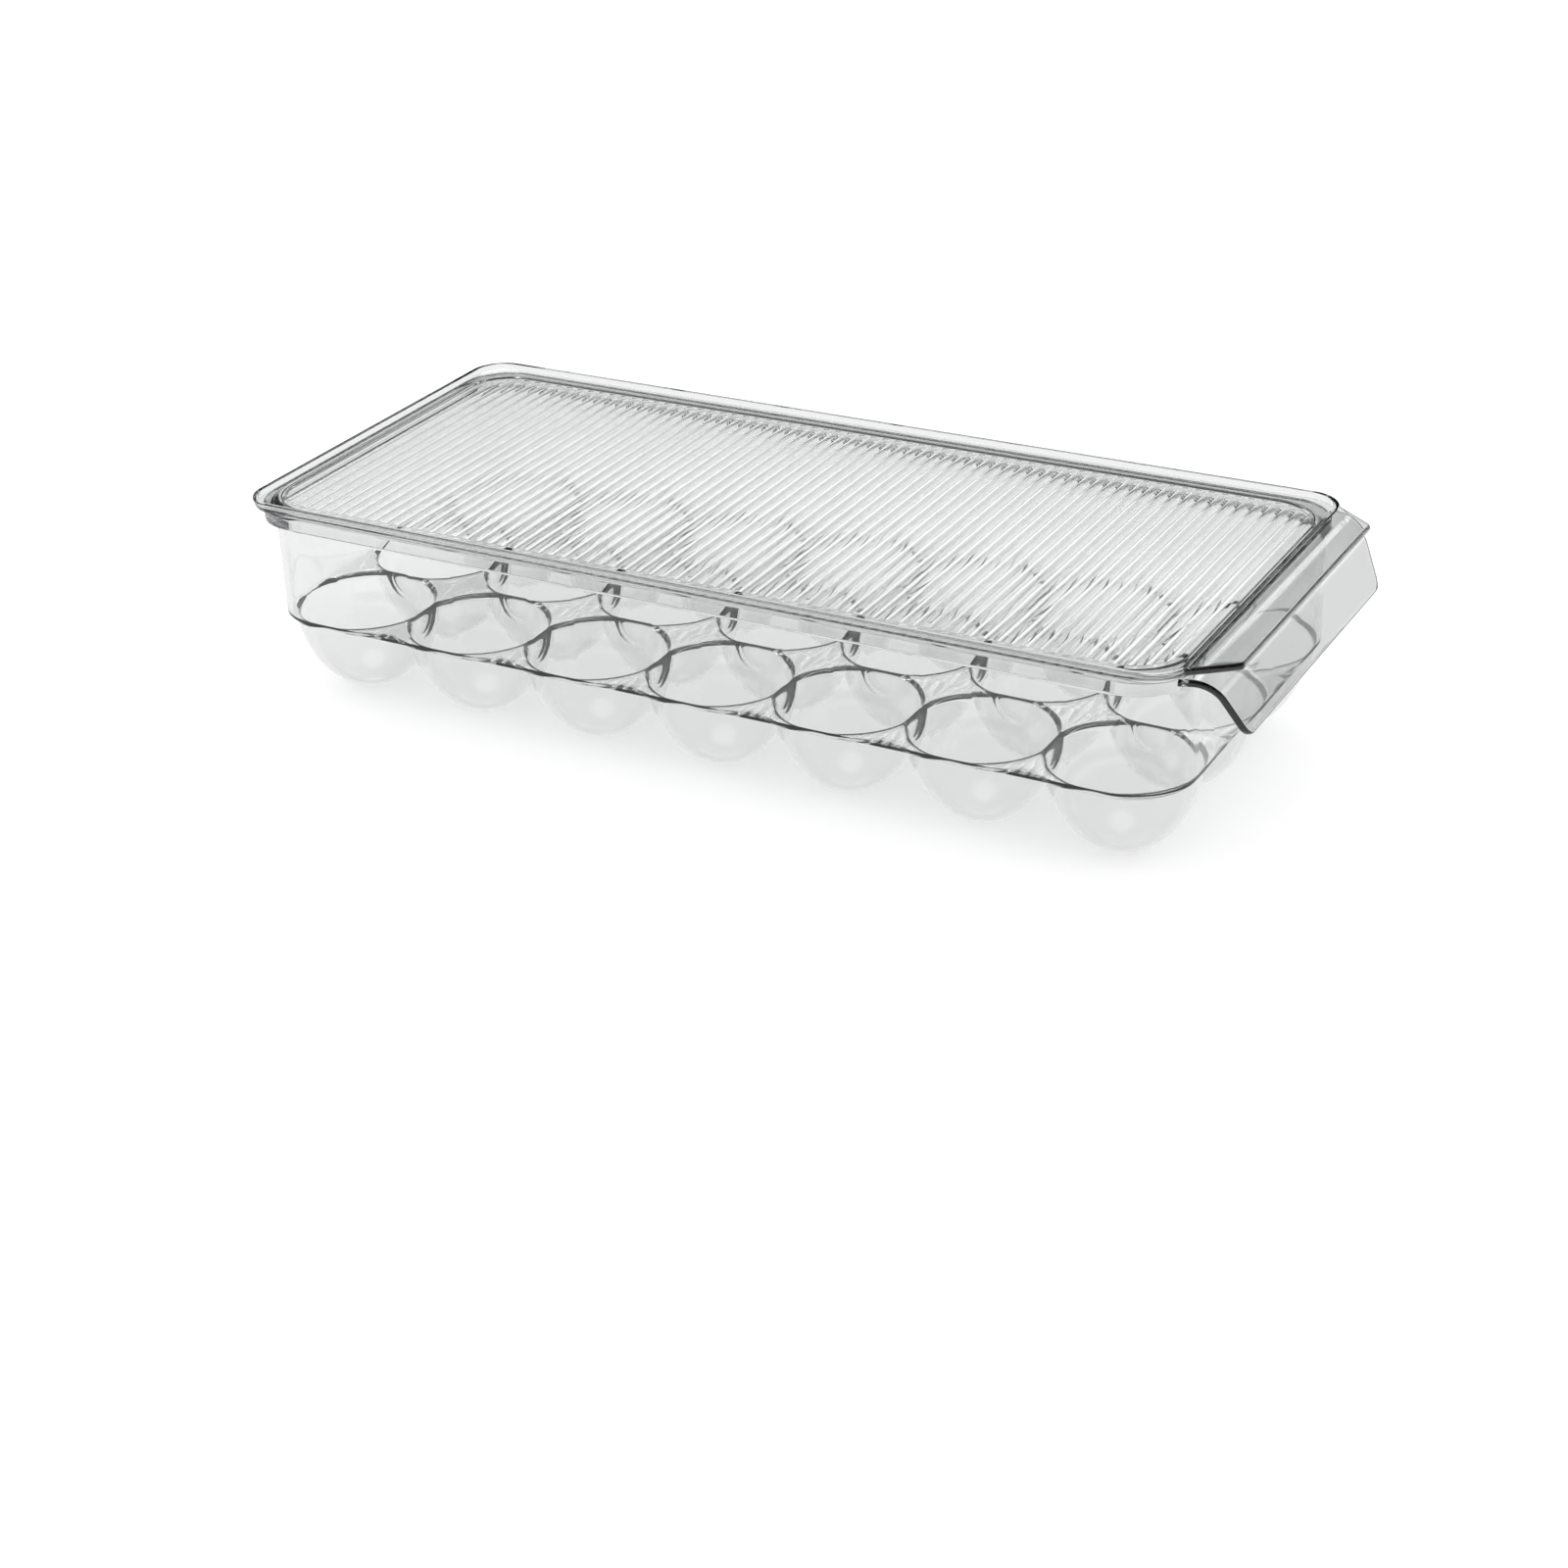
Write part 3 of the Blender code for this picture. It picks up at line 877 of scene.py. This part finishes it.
@dataclass(frozen=True)
class Tray:
    """The tray: deck with its cups, four walls, the flange round the mouth and the pull handle.

    Attributes:
        cups: The field of cups.
        handle: The pull handle.
        top: Height of the flange's top face.
        flange_height: Height of the flange's outer face.
        flange: Outline of the flange.
        fillet: Height of the curve from the flange down to the wall.
        fillet_start: Share of that height, at its top, that stays out of the curve.
        outer_rounding: Rounding of the flange's upper outer edge.
        edge_rounding: Rounding of the other edges of the mouth and flange.
        finish: What it is made of.
        fillet_steps: Steps in the curve under the flange.
    """

    cups: CupCells
    handle: Handle
    top: float
    flange_height: float
    flange: Outline
    fillet: float
    outer_rounding: float
    edge_rounding: float
    finish: ClearPlastic
    fillet_start: float = 0.04
    fillet_steps: int = 8

    def wall_sections(self) -> list[tuple[Outline, float]]:
        """Sections of the wall above the deck, up the inside, over the flange and down the outside."""
        mouth, wall, flange = self.cups.mouth, self.cups.wall_outline, self.flange
        small, large = self.edge_rounding, self.outer_rounding
        bottom = self.top - self.flange_height
        sections = []
        sections += rounded_out(mouth, self.top, -small, -small, 3)
        sections += rounded_in(flange, self.top, large, -large, 6)
        sections += rounded_out(flange, bottom, small, small, 3)
        for step in range(self.fillet_steps):
            fall = self.fillet_start + (1 - self.fillet_start) * (step + 1) / self.fillet_steps
            share = 1 - math.sqrt(1 - (1 - fall) ** 2)
            sections.append((wall.blended(flange, share), bottom - self.fillet * fall))
        return sections

    def boundary_loops(self, shape: bmesh.types.BMesh) -> list[list[bmesh.types.BMVert]]:
        """The cup field's open edges as two loops, the higher one first, from +X anticlockwise."""
        waiting = {edge for edge in shape.edges if edge.is_boundary}
        loops = []
        while waiting:
            edge = waiting.pop()
            loop = [edge.verts[0], edge.verts[1]]
            while True:
                onward = next((item for item in loop[-1].link_edges if item in waiting), None)
                if onward is None:
                    break
                waiting.discard(onward)
                loop.append(onward.other_vert(loop[-1]))
            if loop[0] is loop[-1]:
                loop.pop()
            loops.append(self.turned_to_front(loop))
        loops.sort(key=lambda loop: -loop[0].co.z)
        LOG.info("boundary loops of the cup field: %s", [len(loop) for loop in loops])
        return loops

    def turned_to_front(self, loop: list[bmesh.types.BMVert]) -> list[bmesh.types.BMVert]:
        """Put a loop in anticlockwise order, starting at the vertex nearest to the +X axis."""
        area = sum(a.co.x * b.co.y - b.co.x * a.co.y for a, b in zip(loop, loop[1:] + loop[:1]))
        if area < 0:
            loop = loop[::-1]
        first = min(range(len(loop)), key=lambda index: abs(loop[index].co.y) + (loop[index].co.x < 0))
        return loop[first:] + loop[:first]

    def build(self) -> bpy.types.Object:
        """Make the whole moulding as one closed, smooth shell."""
        field = self.cups.field()
        shape = bmesh.new()
        shape.from_mesh(field.data)
        bpy.data.objects.remove(field, do_unlink=True)
        upper, lower = self.boundary_loops(shape)
        rings = [upper]
        for outline, height in self.wall_sections():
            ring = []
            for vertex in upper:
                x, y = self.cups.mouth.carry(vertex.co.x, vertex.co.y, outline)
                ring.append(shape.verts.new((x, y, height)))
            rings.append(ring)
        rings.append(lower)
        bridge_rings(shape, rings)
        bmesh.ops.recalc_face_normals(shape, faces=shape.faces)
        tray = object_from_bmesh("egg_tray", shape)
        unite(tray, [self.handle.solid()])
        smooth(tray)
        dress(tray, self.finish)
        return tray


@dataclass(frozen=True)
class Ribs:
    """Low ribs across the lid's panel, on the side that faces up, with shallow flutes between them.

    Attributes:
        field: Outline that the ribs' ends follow.
        pitch: Distance between ribs.
        flat: Width of a rib's flat top.
        width: Width of a rib with its hollow flanks.
        height: Height of a rib above the panel.
        step_back: Distance from a rib's end, in the panel's border, to where its flat top drops.
        end_run: Length of that drop.
        end_height: Share of its height that a rib keeps beyond the drop.
        root: How deep a rib is rooted in the panel.
        base: Height of the panel's top face.
        glint_slope: Degrees that a flank must slope down towards +X to be polished and not satin.
        least_height: Share of its height that a rib keeps at its foot.
        sides: Flat steps down each flank.
        drop_steps: Steps in the drop at a rib's end.
    """

    field: Outline
    pitch: float
    flat: float
    width: float
    height: float
    step_back: float
    end_run: float
    end_height: float
    root: float
    base: float
    glint_slope: float
    least_height: float = 0.01
    sides: int = 8
    drop_steps: int = 5

    def count(self) -> int:
        """How many ribs fit."""
        return 2 * int((self.field.half_length - self.width / 2) / self.pitch) + 1

    def height_at(self, fall: float, inside: float) -> float:
        """Height of a rib above the panel.

        Args:
            fall: Place across the rib, from 0 at its foot to 1 at its flat top.
            inside: Distance from the rib's end.

        Returns:
            The height, which drops at the flat top's end and runs on at the flanks.
        """
        share = math.sin(QUARTER_TURN * min(max((inside - self.step_back) / self.end_run, 0), 1))
        top = self.height * (self.end_height + (1 - self.end_height) * share)
        return max(min(self.height * fall**2, top), self.height * self.least_height)

    def is_satin(self, face: bpy.types.MeshPolygon) -> bool:
        """Whether a face of the lid is one of the satin flanks between the ribs."""
        share = (face.center.z - self.base) / self.height
        inside = self.field.depth_inside(face.center.x, face.center.y)
        sloping = FLAT_MARGIN < share < 1 - FLAT_MARGIN
        flank = sloping and inside > self.step_back + self.end_run
        return flank and face.normal.x < math.sin(math.radians(self.glint_slope))

    def template(self) -> bpy.types.Object:
        """One short rib with rounded ends, which the node tree stretches to its length."""
        shape = bmesh.new()
        rings = []
        half, top = self.width / 2, self.flat / 2
        drop = [self.step_back + self.end_run * rise for _, rise in quarter_arc(self.drop_steps)]
        distances = [0.0] + drop
        longest = distances[-1] + self.end_run
        stations = [(inside - longest, inside) for inside in distances]
        for y, inside in stations + [(-y, inside) for y, inside in reversed(stations)]:
            ring = [(-half, y, self.base - self.root), (half, y, self.base - self.root)]
            for side in range(self.sides + 1):
                fall = side / self.sides
                ring.append((half + (top - half) * fall, y, self.base + self.height_at(fall, inside)))
            ring += [(-x, y, height) for x, _, height in reversed(ring[2:])]
            rings.append([shape.verts.new(point) for point in ring])
        bridge_rings(shape, rings)
        shape.faces.new(rings[0][::-1])
        shape.faces.new(rings[-1])
        bmesh.ops.recalc_face_normals(shape, faces=shape.faces)
        return object_from_bmesh("rib_template", shape)

    def solid(self) -> bpy.types.Object:
        """All the ribs as one mesh of closed bars."""
        template = self.template()
        values = {
            "Rib": template,
            "Count": self.count(),
            "Pitch": self.pitch,
            "Half width": self.field.half_width - self.step_back - 2 * self.end_run,
            "Straight half length": self.field.half_length - self.field.radius,
            "Corner radius": self.field.radius,
        }
        ribs = laid_out("lid_ribs", self.layout_tree(), values)
        bpy.data.objects.remove(template, do_unlink=True)
        return ribs

    def layout_tree(self) -> bpy.types.NodeTree:
        """Node tree that lines up the ribs and stretches each to the edge of its field."""
        tree = new_tree(
            "rib_layout",
            {
                "Rib": "NodeSocketObject",
                "Count": "NodeSocketInt",
                "Pitch": "NodeSocketFloat",
                "Half width": "NodeSocketFloat",
                "Straight half length": "NodeSocketFloat",
                "Corner radius": "NodeSocketFloat",
                "Material": "NodeSocketMaterial",
            },
        )
        given = add_node(tree, "NodeGroupInput").outputs
        length = maths(tree, "MULTIPLY", maths(tree, "SUBTRACT", given["Count"], 1.0), given["Pitch"])
        start = add_node(tree, "ShaderNodeCombineXYZ", in0=maths(tree, "MULTIPLY", length, -0.5))
        step = add_node(tree, "ShaderNodeCombineXYZ", in0=given["Pitch"])
        line = add_node(
            tree,
            "GeometryNodeMeshLine",
            {"mode": "OFFSET"},
            Count=given["Count"],
            Start_Location=start.outputs[0],
            Offset=step.outputs[0],
        )
        along = parts_of(tree, add_node(tree, "GeometryNodeInputPosition").outputs[0])[0]
        past = maths(tree, "SUBTRACT", maths(tree, "ABSOLUTE", along), given["Straight half length"])
        into = maths(tree, "MAXIMUM", past, 0)
        radius = given["Corner radius"]
        squares = [maths(tree, "MULTIPLY", value, value) for value in (radius, into)]
        kept = maths(tree, "SQRT", maths(tree, "MAXIMUM", maths(tree, "SUBTRACT", *squares), 0))
        reach = maths(tree, "SUBTRACT", given["Half width"], maths(tree, "SUBTRACT", radius, kept))
        stored = add_node(
            tree,
            "GeometryNodeStoreNamedAttribute",
            {"data_type": "FLOAT", "domain": "POINT"},
            Geometry=line.outputs["Mesh"],
            Name="reach",
            Value=reach,
        )
        rib = add_node(tree, "GeometryNodeObjectInfo", in0=given["Rib"])
        placed = add_node(
            tree, "GeometryNodeInstanceOnPoints", Points=stored.outputs[0], Instance=rib.outputs["Geometry"]
        )
        real = add_node(tree, "GeometryNodeRealizeInstances", in0=placed.outputs[0])
        reach_here = add_node(tree, "GeometryNodeInputNamedAttribute", {"data_type": "FLOAT"}, Name="reach")
        across = parts_of(tree, add_node(tree, "GeometryNodeInputPosition").outputs[0])[1]
        shift = maths(tree, "MULTIPLY", maths(tree, "SIGN", across), reach_here.outputs[0])
        move = add_node(tree, "ShaderNodeCombineXYZ", in1=shift)
        stretched = add_node(
            tree, "GeometryNodeSetPosition", Geometry=real.outputs[0], Offset=move.outputs[0]
        )
        finish_tree(tree, stretched.outputs[0], given["Material"])
        return tree


@dataclass(frozen=True)
class LiftTab:
    """The lift tab: a flat plate on the lid's end, level with the top of its rim.

    Attributes:
        top: Height of its top face.
        thickness: Thickness of the plate.
        root_x: Where the plate starts, inside the lid's rim.
        end_x: Where it ends.
        root_half_width: Half width where it starts.
        end_half_width: Half width at its end.
        corner_radius: Radius of its two corners.
        edge_rounding: Rounding of its edges.
        corner_steps: Steps in a corner.
    """

    top: float
    thickness: float
    root_x: float
    end_x: float
    root_half_width: float
    end_half_width: float
    corner_radius: float
    edge_rounding: float
    corner_steps: int = 10

    def outline(self, shrink: float) -> list[tuple[float, float]]:
        """Points round the tab, moved inwards all round except at the root."""
        slope = math.atan2(self.root_half_width - self.end_half_width, self.end_x - self.root_x)
        root = Vector((self.root_x, self.root_half_width - shrink / math.cos(slope)))
        side = Vector((math.cos(slope), -math.sin(slope)))
        end_x = self.end_x - shrink
        corner = root + side * ((end_x - self.root_x) / math.cos(slope))
        radius = self.corner_radius - shrink
        turn = QUARTER_TURN - slope
        first = corner - side * (radius * math.tan(turn / 2))
        arm = Vector((-side.y, side.x)) * radius
        centre = first - arm
        half = [root]
        for step in range(self.corner_steps + 1):
            half.append(centre + Matrix.Rotation(-turn * step / self.corner_steps, 2) @ arm)
        points = [(point.x, point.y) for point in half]
        return points + [(x, -y) for x, y in reversed(points)]

    def solid(self) -> bpy.types.Object:
        """The tab as a closed plate with rounded edges."""
        rings = []
        bottom = self.top - self.thickness
        edge = self.edge_rounding
        for rise, run in quarter_arc(4):
            rings.append([(x, y, bottom + edge * run) for x, y in self.outline(edge * (1 - rise))])
        for rise, run in quarter_arc(4):
            rings.append([(x, y, self.top - edge * (1 - rise)) for x, y in self.outline(edge * run)])
        return closed_loft("lift_tab", rings)


@dataclass(frozen=True)
class Lid:
    """The lid: an upstanding rim, a panel that drops into the tray's mouth, ribs and the lift tab.

    Attributes:
        bottom: Height of the underside that lies on the flange.
        top: Height of the rim's top face.
        ledge: Height of the ledge between the rim and the panel.
        panel_top: Height of the panel's top face.
        panel_bottom: Height of the panel's underside.
        foot: Outline of the underside.
        edge: Outline of the rim's top.
        rim_inside: Inside outline of the rim.
        step: Outline of the part that drops into the mouth.
        panel: Outline of the panel's top face.
        brow: Rounding of the rim's upper outer edge.
        chin: Rounding of the rim's lower outer edge.
        edge_rounding: Rounding of its other edges.
        ribs: The ribs on the panel.
        tab: The lift tab.
        finish: What it is made of.
        satin: The same plastic with a satin surface, for the flutes between the ribs.
        corner_steps: Steps in each corner of its outlines.
    """

    bottom: float
    top: float
    ledge: float
    panel_top: float
    panel_bottom: float
    foot: Outline
    edge: Outline
    rim_inside: Outline
    step: Outline
    panel: Outline
    brow: float
    chin: float
    edge_rounding: float
    ribs: Ribs
    tab: LiftTab
    finish: ClearPlastic
    satin: ClearPlastic
    corner_steps: int = 20

    def sections(self) -> list[tuple[Outline, float]]:
        """Sections from the panel's top face, over the rim and under to the panel's underside."""
        small, brow, chin = self.edge_rounding, self.brow, self.chin
        found = rounded_in(self.panel, self.panel_top, small, small, 3)
        found += rounded_out(self.panel, self.ledge, -small, -small, 3)
        found += rounded_in(self.rim_inside, self.ledge, small, small, 3)
        found += rounded_out(self.rim_inside, self.top, -small, -small, 4)
        found += rounded_in(self.edge, self.top, brow, -brow, 5)
        found += rounded_out(self.foot, self.bottom, chin, chin, 6)
        found += rounded_in(self.step, self.bottom, -small, -small, 3)
        found += rounded_out(self.step, self.panel_bottom, small, small, 4)
        return found

    def build(self) -> bpy.types.Object:
        """Make the whole moulding as one closed, smooth shell."""
        lid = loft_outlines("ribbed_lid", self.sections(), self.corner_steps)
        unite(lid, [self.tab.solid(), self.ribs.solid()])
        smooth(lid)
        dress(lid, self.finish, self.satin)
        for face in lid.data.polygons:
            face.material_index = int(self.ribs.is_satin(face))
        return lid


@dataclass(frozen=True)
class SoftLight:
    """A soft light panel in the room, seen in gloss and through clear plastic.

    Attributes:
        azimuth: Degrees of its middle round from the front, as for the camera.
        elevation: Degrees of its middle above the horizon.
        half_width: Degrees from its middle to its side.
        half_height: Degrees from its middle to its top.
        softness: Degrees over which its edges fade.
        strength: Brightness, where 1 is white.
    """

    azimuth: float
    elevation: float
    half_width: float
    half_height: float
    softness: float
    strength: float

    def brightness(
        self, tree: bpy.types.NodeTree, turn: bpy.types.NodeSocket, rise: bpy.types.NodeSocket
    ) -> bpy.types.NodeSocket:
        """Brightness that the light adds to a heading.

        Args:
            tree: The world's node tree.
            turn: Azimuth of the heading, in radians from the back, so that it doesn't jump there.
            rise: Elevation of the heading, in radians.

        Returns:
            The socket with the brightness.
        """
        level: bpy.types.NodeSocket | float = self.strength
        spans = (
            (turn, math.radians(self.azimuth - 180), self.half_width),
            (rise, math.radians(self.elevation), self.half_height),
        )
        for angle, middle, half in spans:
            off = maths(tree, "ABSOLUTE", maths(tree, "SUBTRACT", angle, middle))
            inner, outer = math.radians(half - self.softness / 2), math.radians(half + self.softness / 2)
            level = soft_ramp(tree, off, From_Min=inner, From_Max=outer, To_Min=level, To_Max=0.0)
        return level


@dataclass(frozen=True)
class Studio:
    """Camera, floor and surroundings.

    Attributes:
        azimuth: Degrees that the camera stands round from the front.
        elevation: Degrees above the horizon.
        roll: Degrees that the camera is turned about its view.
        target: The point in the middle of the picture.
        distance: Distance from the target to the camera.
        lens: Focal length in millimetres on a sensor 36 mm wide.
        floor_level: Height of the floor.
        floor_radius: Radius of the floor.
        paper_radius: How far from the keeper gloss and glass still show the floor's white.
        paper_fade: Share of that radius over which the white fades out.
        room_light: Strength of the room's light on the floor.
        dark: Brightness between the lights of the room that gloss and glass show.
        paper: Colour of the floor's paper.
        direct_white: White that is added to the floor where the camera sees it directly.
        shown_white: White that is added to the floor where gloss and glass show it.
        shown_paper: Colour of the floor's paper where gloss and glass show it.
        lights: Soft lights of the room, which gloss and clear plastic show.
    """

    azimuth: float = 29.36
    elevation: float = 27.58
    roll: float = -1.98
    target: Point = (0.05671, -0.10895, 0.0319)
    distance: float = 0.89098
    lens: float = 67.2
    floor_level: float = -0.0002
    floor_radius: float = 4.0
    paper_radius: float = 1.2
    paper_fade: float = 0.2
    room_light: float = 1.0
    dark: float = 0.02
    paper: str = "f0f0f0"
    direct_white: float = 0.35
    shown_white: float = 0.67
    shown_paper: str = "a0a0a0"
    lights: tuple[SoftLight, ...] = (
        SoftLight(205.0, 28.5, half_width=24.0, half_height=2.2, softness=1.2, strength=3.0),
        SoftLight(180.0, 90.0, half_width=180.0, half_height=20.0, softness=12.0, strength=1.0),
        SoftLight(180.0, 12.0, half_width=190.0, half_height=3.5, softness=3.0, strength=0.8),
    )

    def build(self) -> None:
        """Make the camera, the floor and the room."""
        scene = bpy.context.scene
        scene.view_settings.view_transform = "Standard"
        scene.cycles.max_bounces = CLEAR_BOUNCES
        scene.cycles.transmission_bounces = CLEAR_BOUNCES
        scene.cycles.glossy_bounces = GLOSS_BOUNCES
        scene.cycles.transparent_max_bounces = SHADOW_BOUNCES
        self.add_camera()
        self.add_floor()
        self.add_room()

    def towards_camera(self) -> Vector:
        """Unit vector from the target to the camera."""
        turn, rise = math.radians(self.azimuth), math.radians(self.elevation)
        return Vector((math.sin(turn) * math.cos(rise), -math.cos(turn) * math.cos(rise), math.sin(rise)))

    def add_camera(self) -> None:
        """Set the camera at the photograph's viewing angle."""
        turn, roll = math.radians(self.azimuth), math.radians(self.roll)
        back = self.towards_camera()
        level = Vector((math.cos(turn), math.sin(turn), 0))
        upright = back.cross(level)
        right = level * math.cos(roll) + upright * math.sin(roll)
        above = upright * math.cos(roll) - level * math.sin(roll)
        camera = bpy.data.objects.new("camera", bpy.data.cameras.new("camera"))
        camera.data.sensor_width = SENSOR_WIDTH
        camera.data.lens = self.lens
        camera.data.clip_start, camera.data.clip_end = CAMERA_RANGE
        turned = Matrix((right, above, back)).transposed().to_4x4()
        camera.matrix_world = Matrix.Translation(Vector(self.target) + back * self.distance) @ turned
        bpy.context.scene.collection.objects.link(camera)
        bpy.context.scene.camera = camera

    def add_floor(self) -> None:
        """A round pale floor that keeps a soft shadow and reads as white."""
        shape = bmesh.new()
        bmesh.ops.create_circle(shape, cap_ends=True, segments=FLOOR_SIDES, radius=self.floor_radius)
        floor = object_from_bmesh("floor", shape)
        for vertex in floor.data.vertices:
            vertex.co.z = self.floor_level
        paper = bpy.data.materials.new("matt_white_paper_floor")
        paper.use_nodes = True
        tree = paper.node_tree
        tree.nodes.clear()
        clear = seen_in_plastic(tree)
        shade = add_node(
            tree,
            "ShaderNodeMix",
            {"data_type": "RGBA"},
            in0=clear,
            in6=linear_colour(self.paper),
            in7=linear_colour(self.shown_paper),
        ).outputs[2]
        matt = add_node(tree, "ShaderNodeBsdfDiffuse", Color=shade)
        direct = add_node(tree, "ShaderNodeLightPath").outputs["Is Camera Ray"]
        shown_extra = maths(tree, "MULTIPLY", clear, self.shown_white)
        extra = maths(tree, "MULTIPLY_ADD", direct, self.direct_white, shown_extra)
        glow = add_node(tree, "ShaderNodeEmission", Color=linear_colour("ffffff"), Strength=extra)
        both = add_node(tree, "ShaderNodeAddShader", in0=matt.outputs[0], in1=glow.outputs[0])
        place = add_node(tree, "ShaderNodeTexCoord").outputs["Object"]
        away = add_node(tree, "ShaderNodeVectorMath", {"operation": "LENGTH"}, in0=place).outputs["Value"]
        near, far = self.paper_radius * (1 - self.paper_fade), self.paper_radius * (1 + self.paper_fade)
        beyond = soft_ramp(tree, away, From_Min=near, From_Max=far)
        unlit = maths(tree, "MULTIPLY", clear, beyond)
        dim = add_node(tree, "ShaderNodeEmission", Color=linear_colour("ffffff"), Strength=self.dark)
        shown = add_node(tree, "ShaderNodeMixShader", in0=unlit, in1=both.outputs[0], in2=dim.outputs[0])
        add_node(tree, "ShaderNodeOutputMaterial", Surface=shown.outputs[0])
        floor.data.materials.append(paper)

    def add_room(self) -> None:
        """A plain bright room, and the dark one with soft lights that gloss and glass show."""
        world = bpy.data.worlds.new("plain_white_room")
        world.use_nodes = True
        tree = world.node_tree
        tree.nodes.clear()
        east, north, up = parts_of(tree, add_node(tree, "ShaderNodeTexCoord").outputs["Generated"])
        turn = maths(tree, "ARCTAN2", maths(tree, "MULTIPLY", east, -1.0), north)
        rise = maths(tree, "ARCSINE", up)
        shown: bpy.types.NodeSocket | float = self.dark
        for light in self.lights:
            shown = maths(tree, "MAXIMUM", shown, light.brightness(tree, turn, rise))
        scattered = add_node(tree, "ShaderNodeLightPath").outputs["Diffuse Depth"]
        unscattered = maths(tree, "LESS_THAN", scattered, 0.5)
        seen = maths(tree, "MULTIPLY", seen_in_plastic(tree), unscattered)
        strength = add_node(
            tree, "ShaderNodeMix", {"data_type": "FLOAT"}, Factor=seen, A=self.room_light, B=shown
        ).outputs[0]
        glow = add_node(tree, "ShaderNodeBackground", Color=linear_colour("ffffff"), Strength=strength)
        add_node(tree, "ShaderNodeOutputWorld", Surface=glow.outputs[0])
        bpy.context.scene.world = world


def make_tray() -> Tray:
    """The tray with its real sizes."""
    pitch, columns, rows = 0.0475, 7, 3
    rim_radius, depth, wall = 0.0241, 0.0310, 0.0009
    land_end, land_side, mouth_corner, wall_thickness = 0.0002, 0.0003, 0.0195, 0.0015
    flange_reach_end, flange_reach_side, flange_corner = 0.0009, 0.0029, 0.0175
    height_over_deck, handle_thickness, handle_level_run = 0.0401, 0.0024, 0.0018
    half_length = (columns - 1) / 2 * pitch + rim_radius + land_end
    half_width = (rows - 1) / 2 * pitch + rim_radius + land_side
    mouth = Outline(half_length, half_width, mouth_corner)
    wall_outline = mouth.inset(-wall_thickness)
    flange = wall_outline.grown(flange_reach_end, flange_reach_side, flange_corner)
    top = depth + wall + height_over_deck
    cups = CupCells(
        pitch=pitch,
        columns=columns,
        rows=rows,
        rim_radius=0.0235,
        outer_radius=rim_radius + wall,
        depth=depth,
        wall=wall,
        roundness=1.95,
        web=0.0015,
        rim_rounding=0.0018,
        rim_drop=0.0026,
        crease_rounding=0.0006,
        deck_thickness=0.0018,
        foot_rounding=0.0012,
        mouth=mouth,
        wall_outline=wall_outline,
    )
    handle = Handle(
        thickness=handle_thickness,
        start_x=wall_outline.half_length - wall_thickness / 2,
        bend_x=flange.half_length + handle_level_run,
        level=top - handle_thickness / 2,
        bend_radius=0.010,
        bend_degrees=63.0,
        drop_run=0.0144,
        root_half_width=0.0695,
        end_half_width=0.0597,
        corner_radius=0.004,
        edge_rounding=0.0010,
    )
    return Tray(
        cups=cups,
        handle=handle,
        top=top,
        flange_height=0.0049,
        flange=flange,
        fillet=0.0022,
        outer_rounding=0.0012,
        edge_rounding=0.0003,
        finish=ClearPlastic("clear_styrene_tray", tint_density=70.0),
    )


def make_lid(tray: Tray) -> Lid:
    """The lid with its real sizes, on the tray."""
    clearance, edge_height, rim_height, rim_width, draft = 0.0003, 0.0033, 0.0017, 0.0020, 0.0005
    overhang_end, overhang_side, edge_corner = 0.0005, 0.0015, 0.0125
    step_gap, step_corner, step_wall = 0.0018, 0.0177, 0.0014
    panel_drop, panel_thickness, rib_overrun = 0.0013, 0.0016, 0.0003
    tab_root, tab_reach = 0.0010, 0.0138
    bottom = tray.top + clearance
    top = bottom + edge_height
    ledge = top - rim_height
    panel_top = ledge - panel_drop
    edge = tray.flange.grown(overhang_end, overhang_side, edge_corner)
    step = tray.cups.mouth.grown(-step_gap, -clearance, step_corner)
    panel = step.inset(step_wall)
    ribs = Ribs(
        field=panel.inset(-rib_overrun),
        pitch=0.0047,
        flat=0.0013,
        width=0.0045,
        height=0.00013,
        step_back=0.0022,
        end_run=0.0005,
        end_height=0.4,
        root=0.0002,
        base=panel_top,
        glint_slope=3.5,
    )
    tab = LiftTab(
        top=top,
        thickness=0.0025,
        root_x=edge.half_length - tab_root,
        end_x=edge.half_length + tab_reach,
        root_half_width=0.0695,
        end_half_width=0.058,
        corner_radius=0.003,
        edge_rounding=0.0010,
    )
    return Lid(
        bottom=bottom,
        top=top,
        ledge=ledge,
        panel_top=panel_top,
        panel_bottom=panel_top - panel_thickness,
        foot=edge.inset(draft),
        edge=edge,
        rim_inside=edge.inset(rim_width),
        step=step,
        panel=panel,
        brow=0.0005,
        chin=0.0010,
        edge_rounding=0.0003,
        ribs=ribs,
        tab=tab,
        finish=ClearPlastic("clear_styrene_lid", tint_density=0.0, colour="f8f9f9"),
        satin=ClearPlastic("satin_styrene_lid", tint_density=0.0, colour="f8f9f9", roughness=0.16),
    )


def report(piece: bpy.types.Object) -> None:
    """Log a finished piece's triangle count."""
    piece.data.calc_loop_triangles()
    LOG.info("%s: %d triangles", piece.name, len(piece.data.loop_triangles))


def main() -> None:
    """Build the pieces in order, fix each to its body, and set up the studio."""
    logging.basicConfig(level=logging.INFO, format="%(name)s: %(message)s")
    tray_design = make_tray()
    tray = tray_design.build()
    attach(tray, "tray")
    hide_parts("tray")
    report(tray)
    lid = make_lid(tray_design).build()
    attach(lid, "lid")
    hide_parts("lid")
    report(lid)
    Studio().build()


if __name__ == "__main__":
    main()
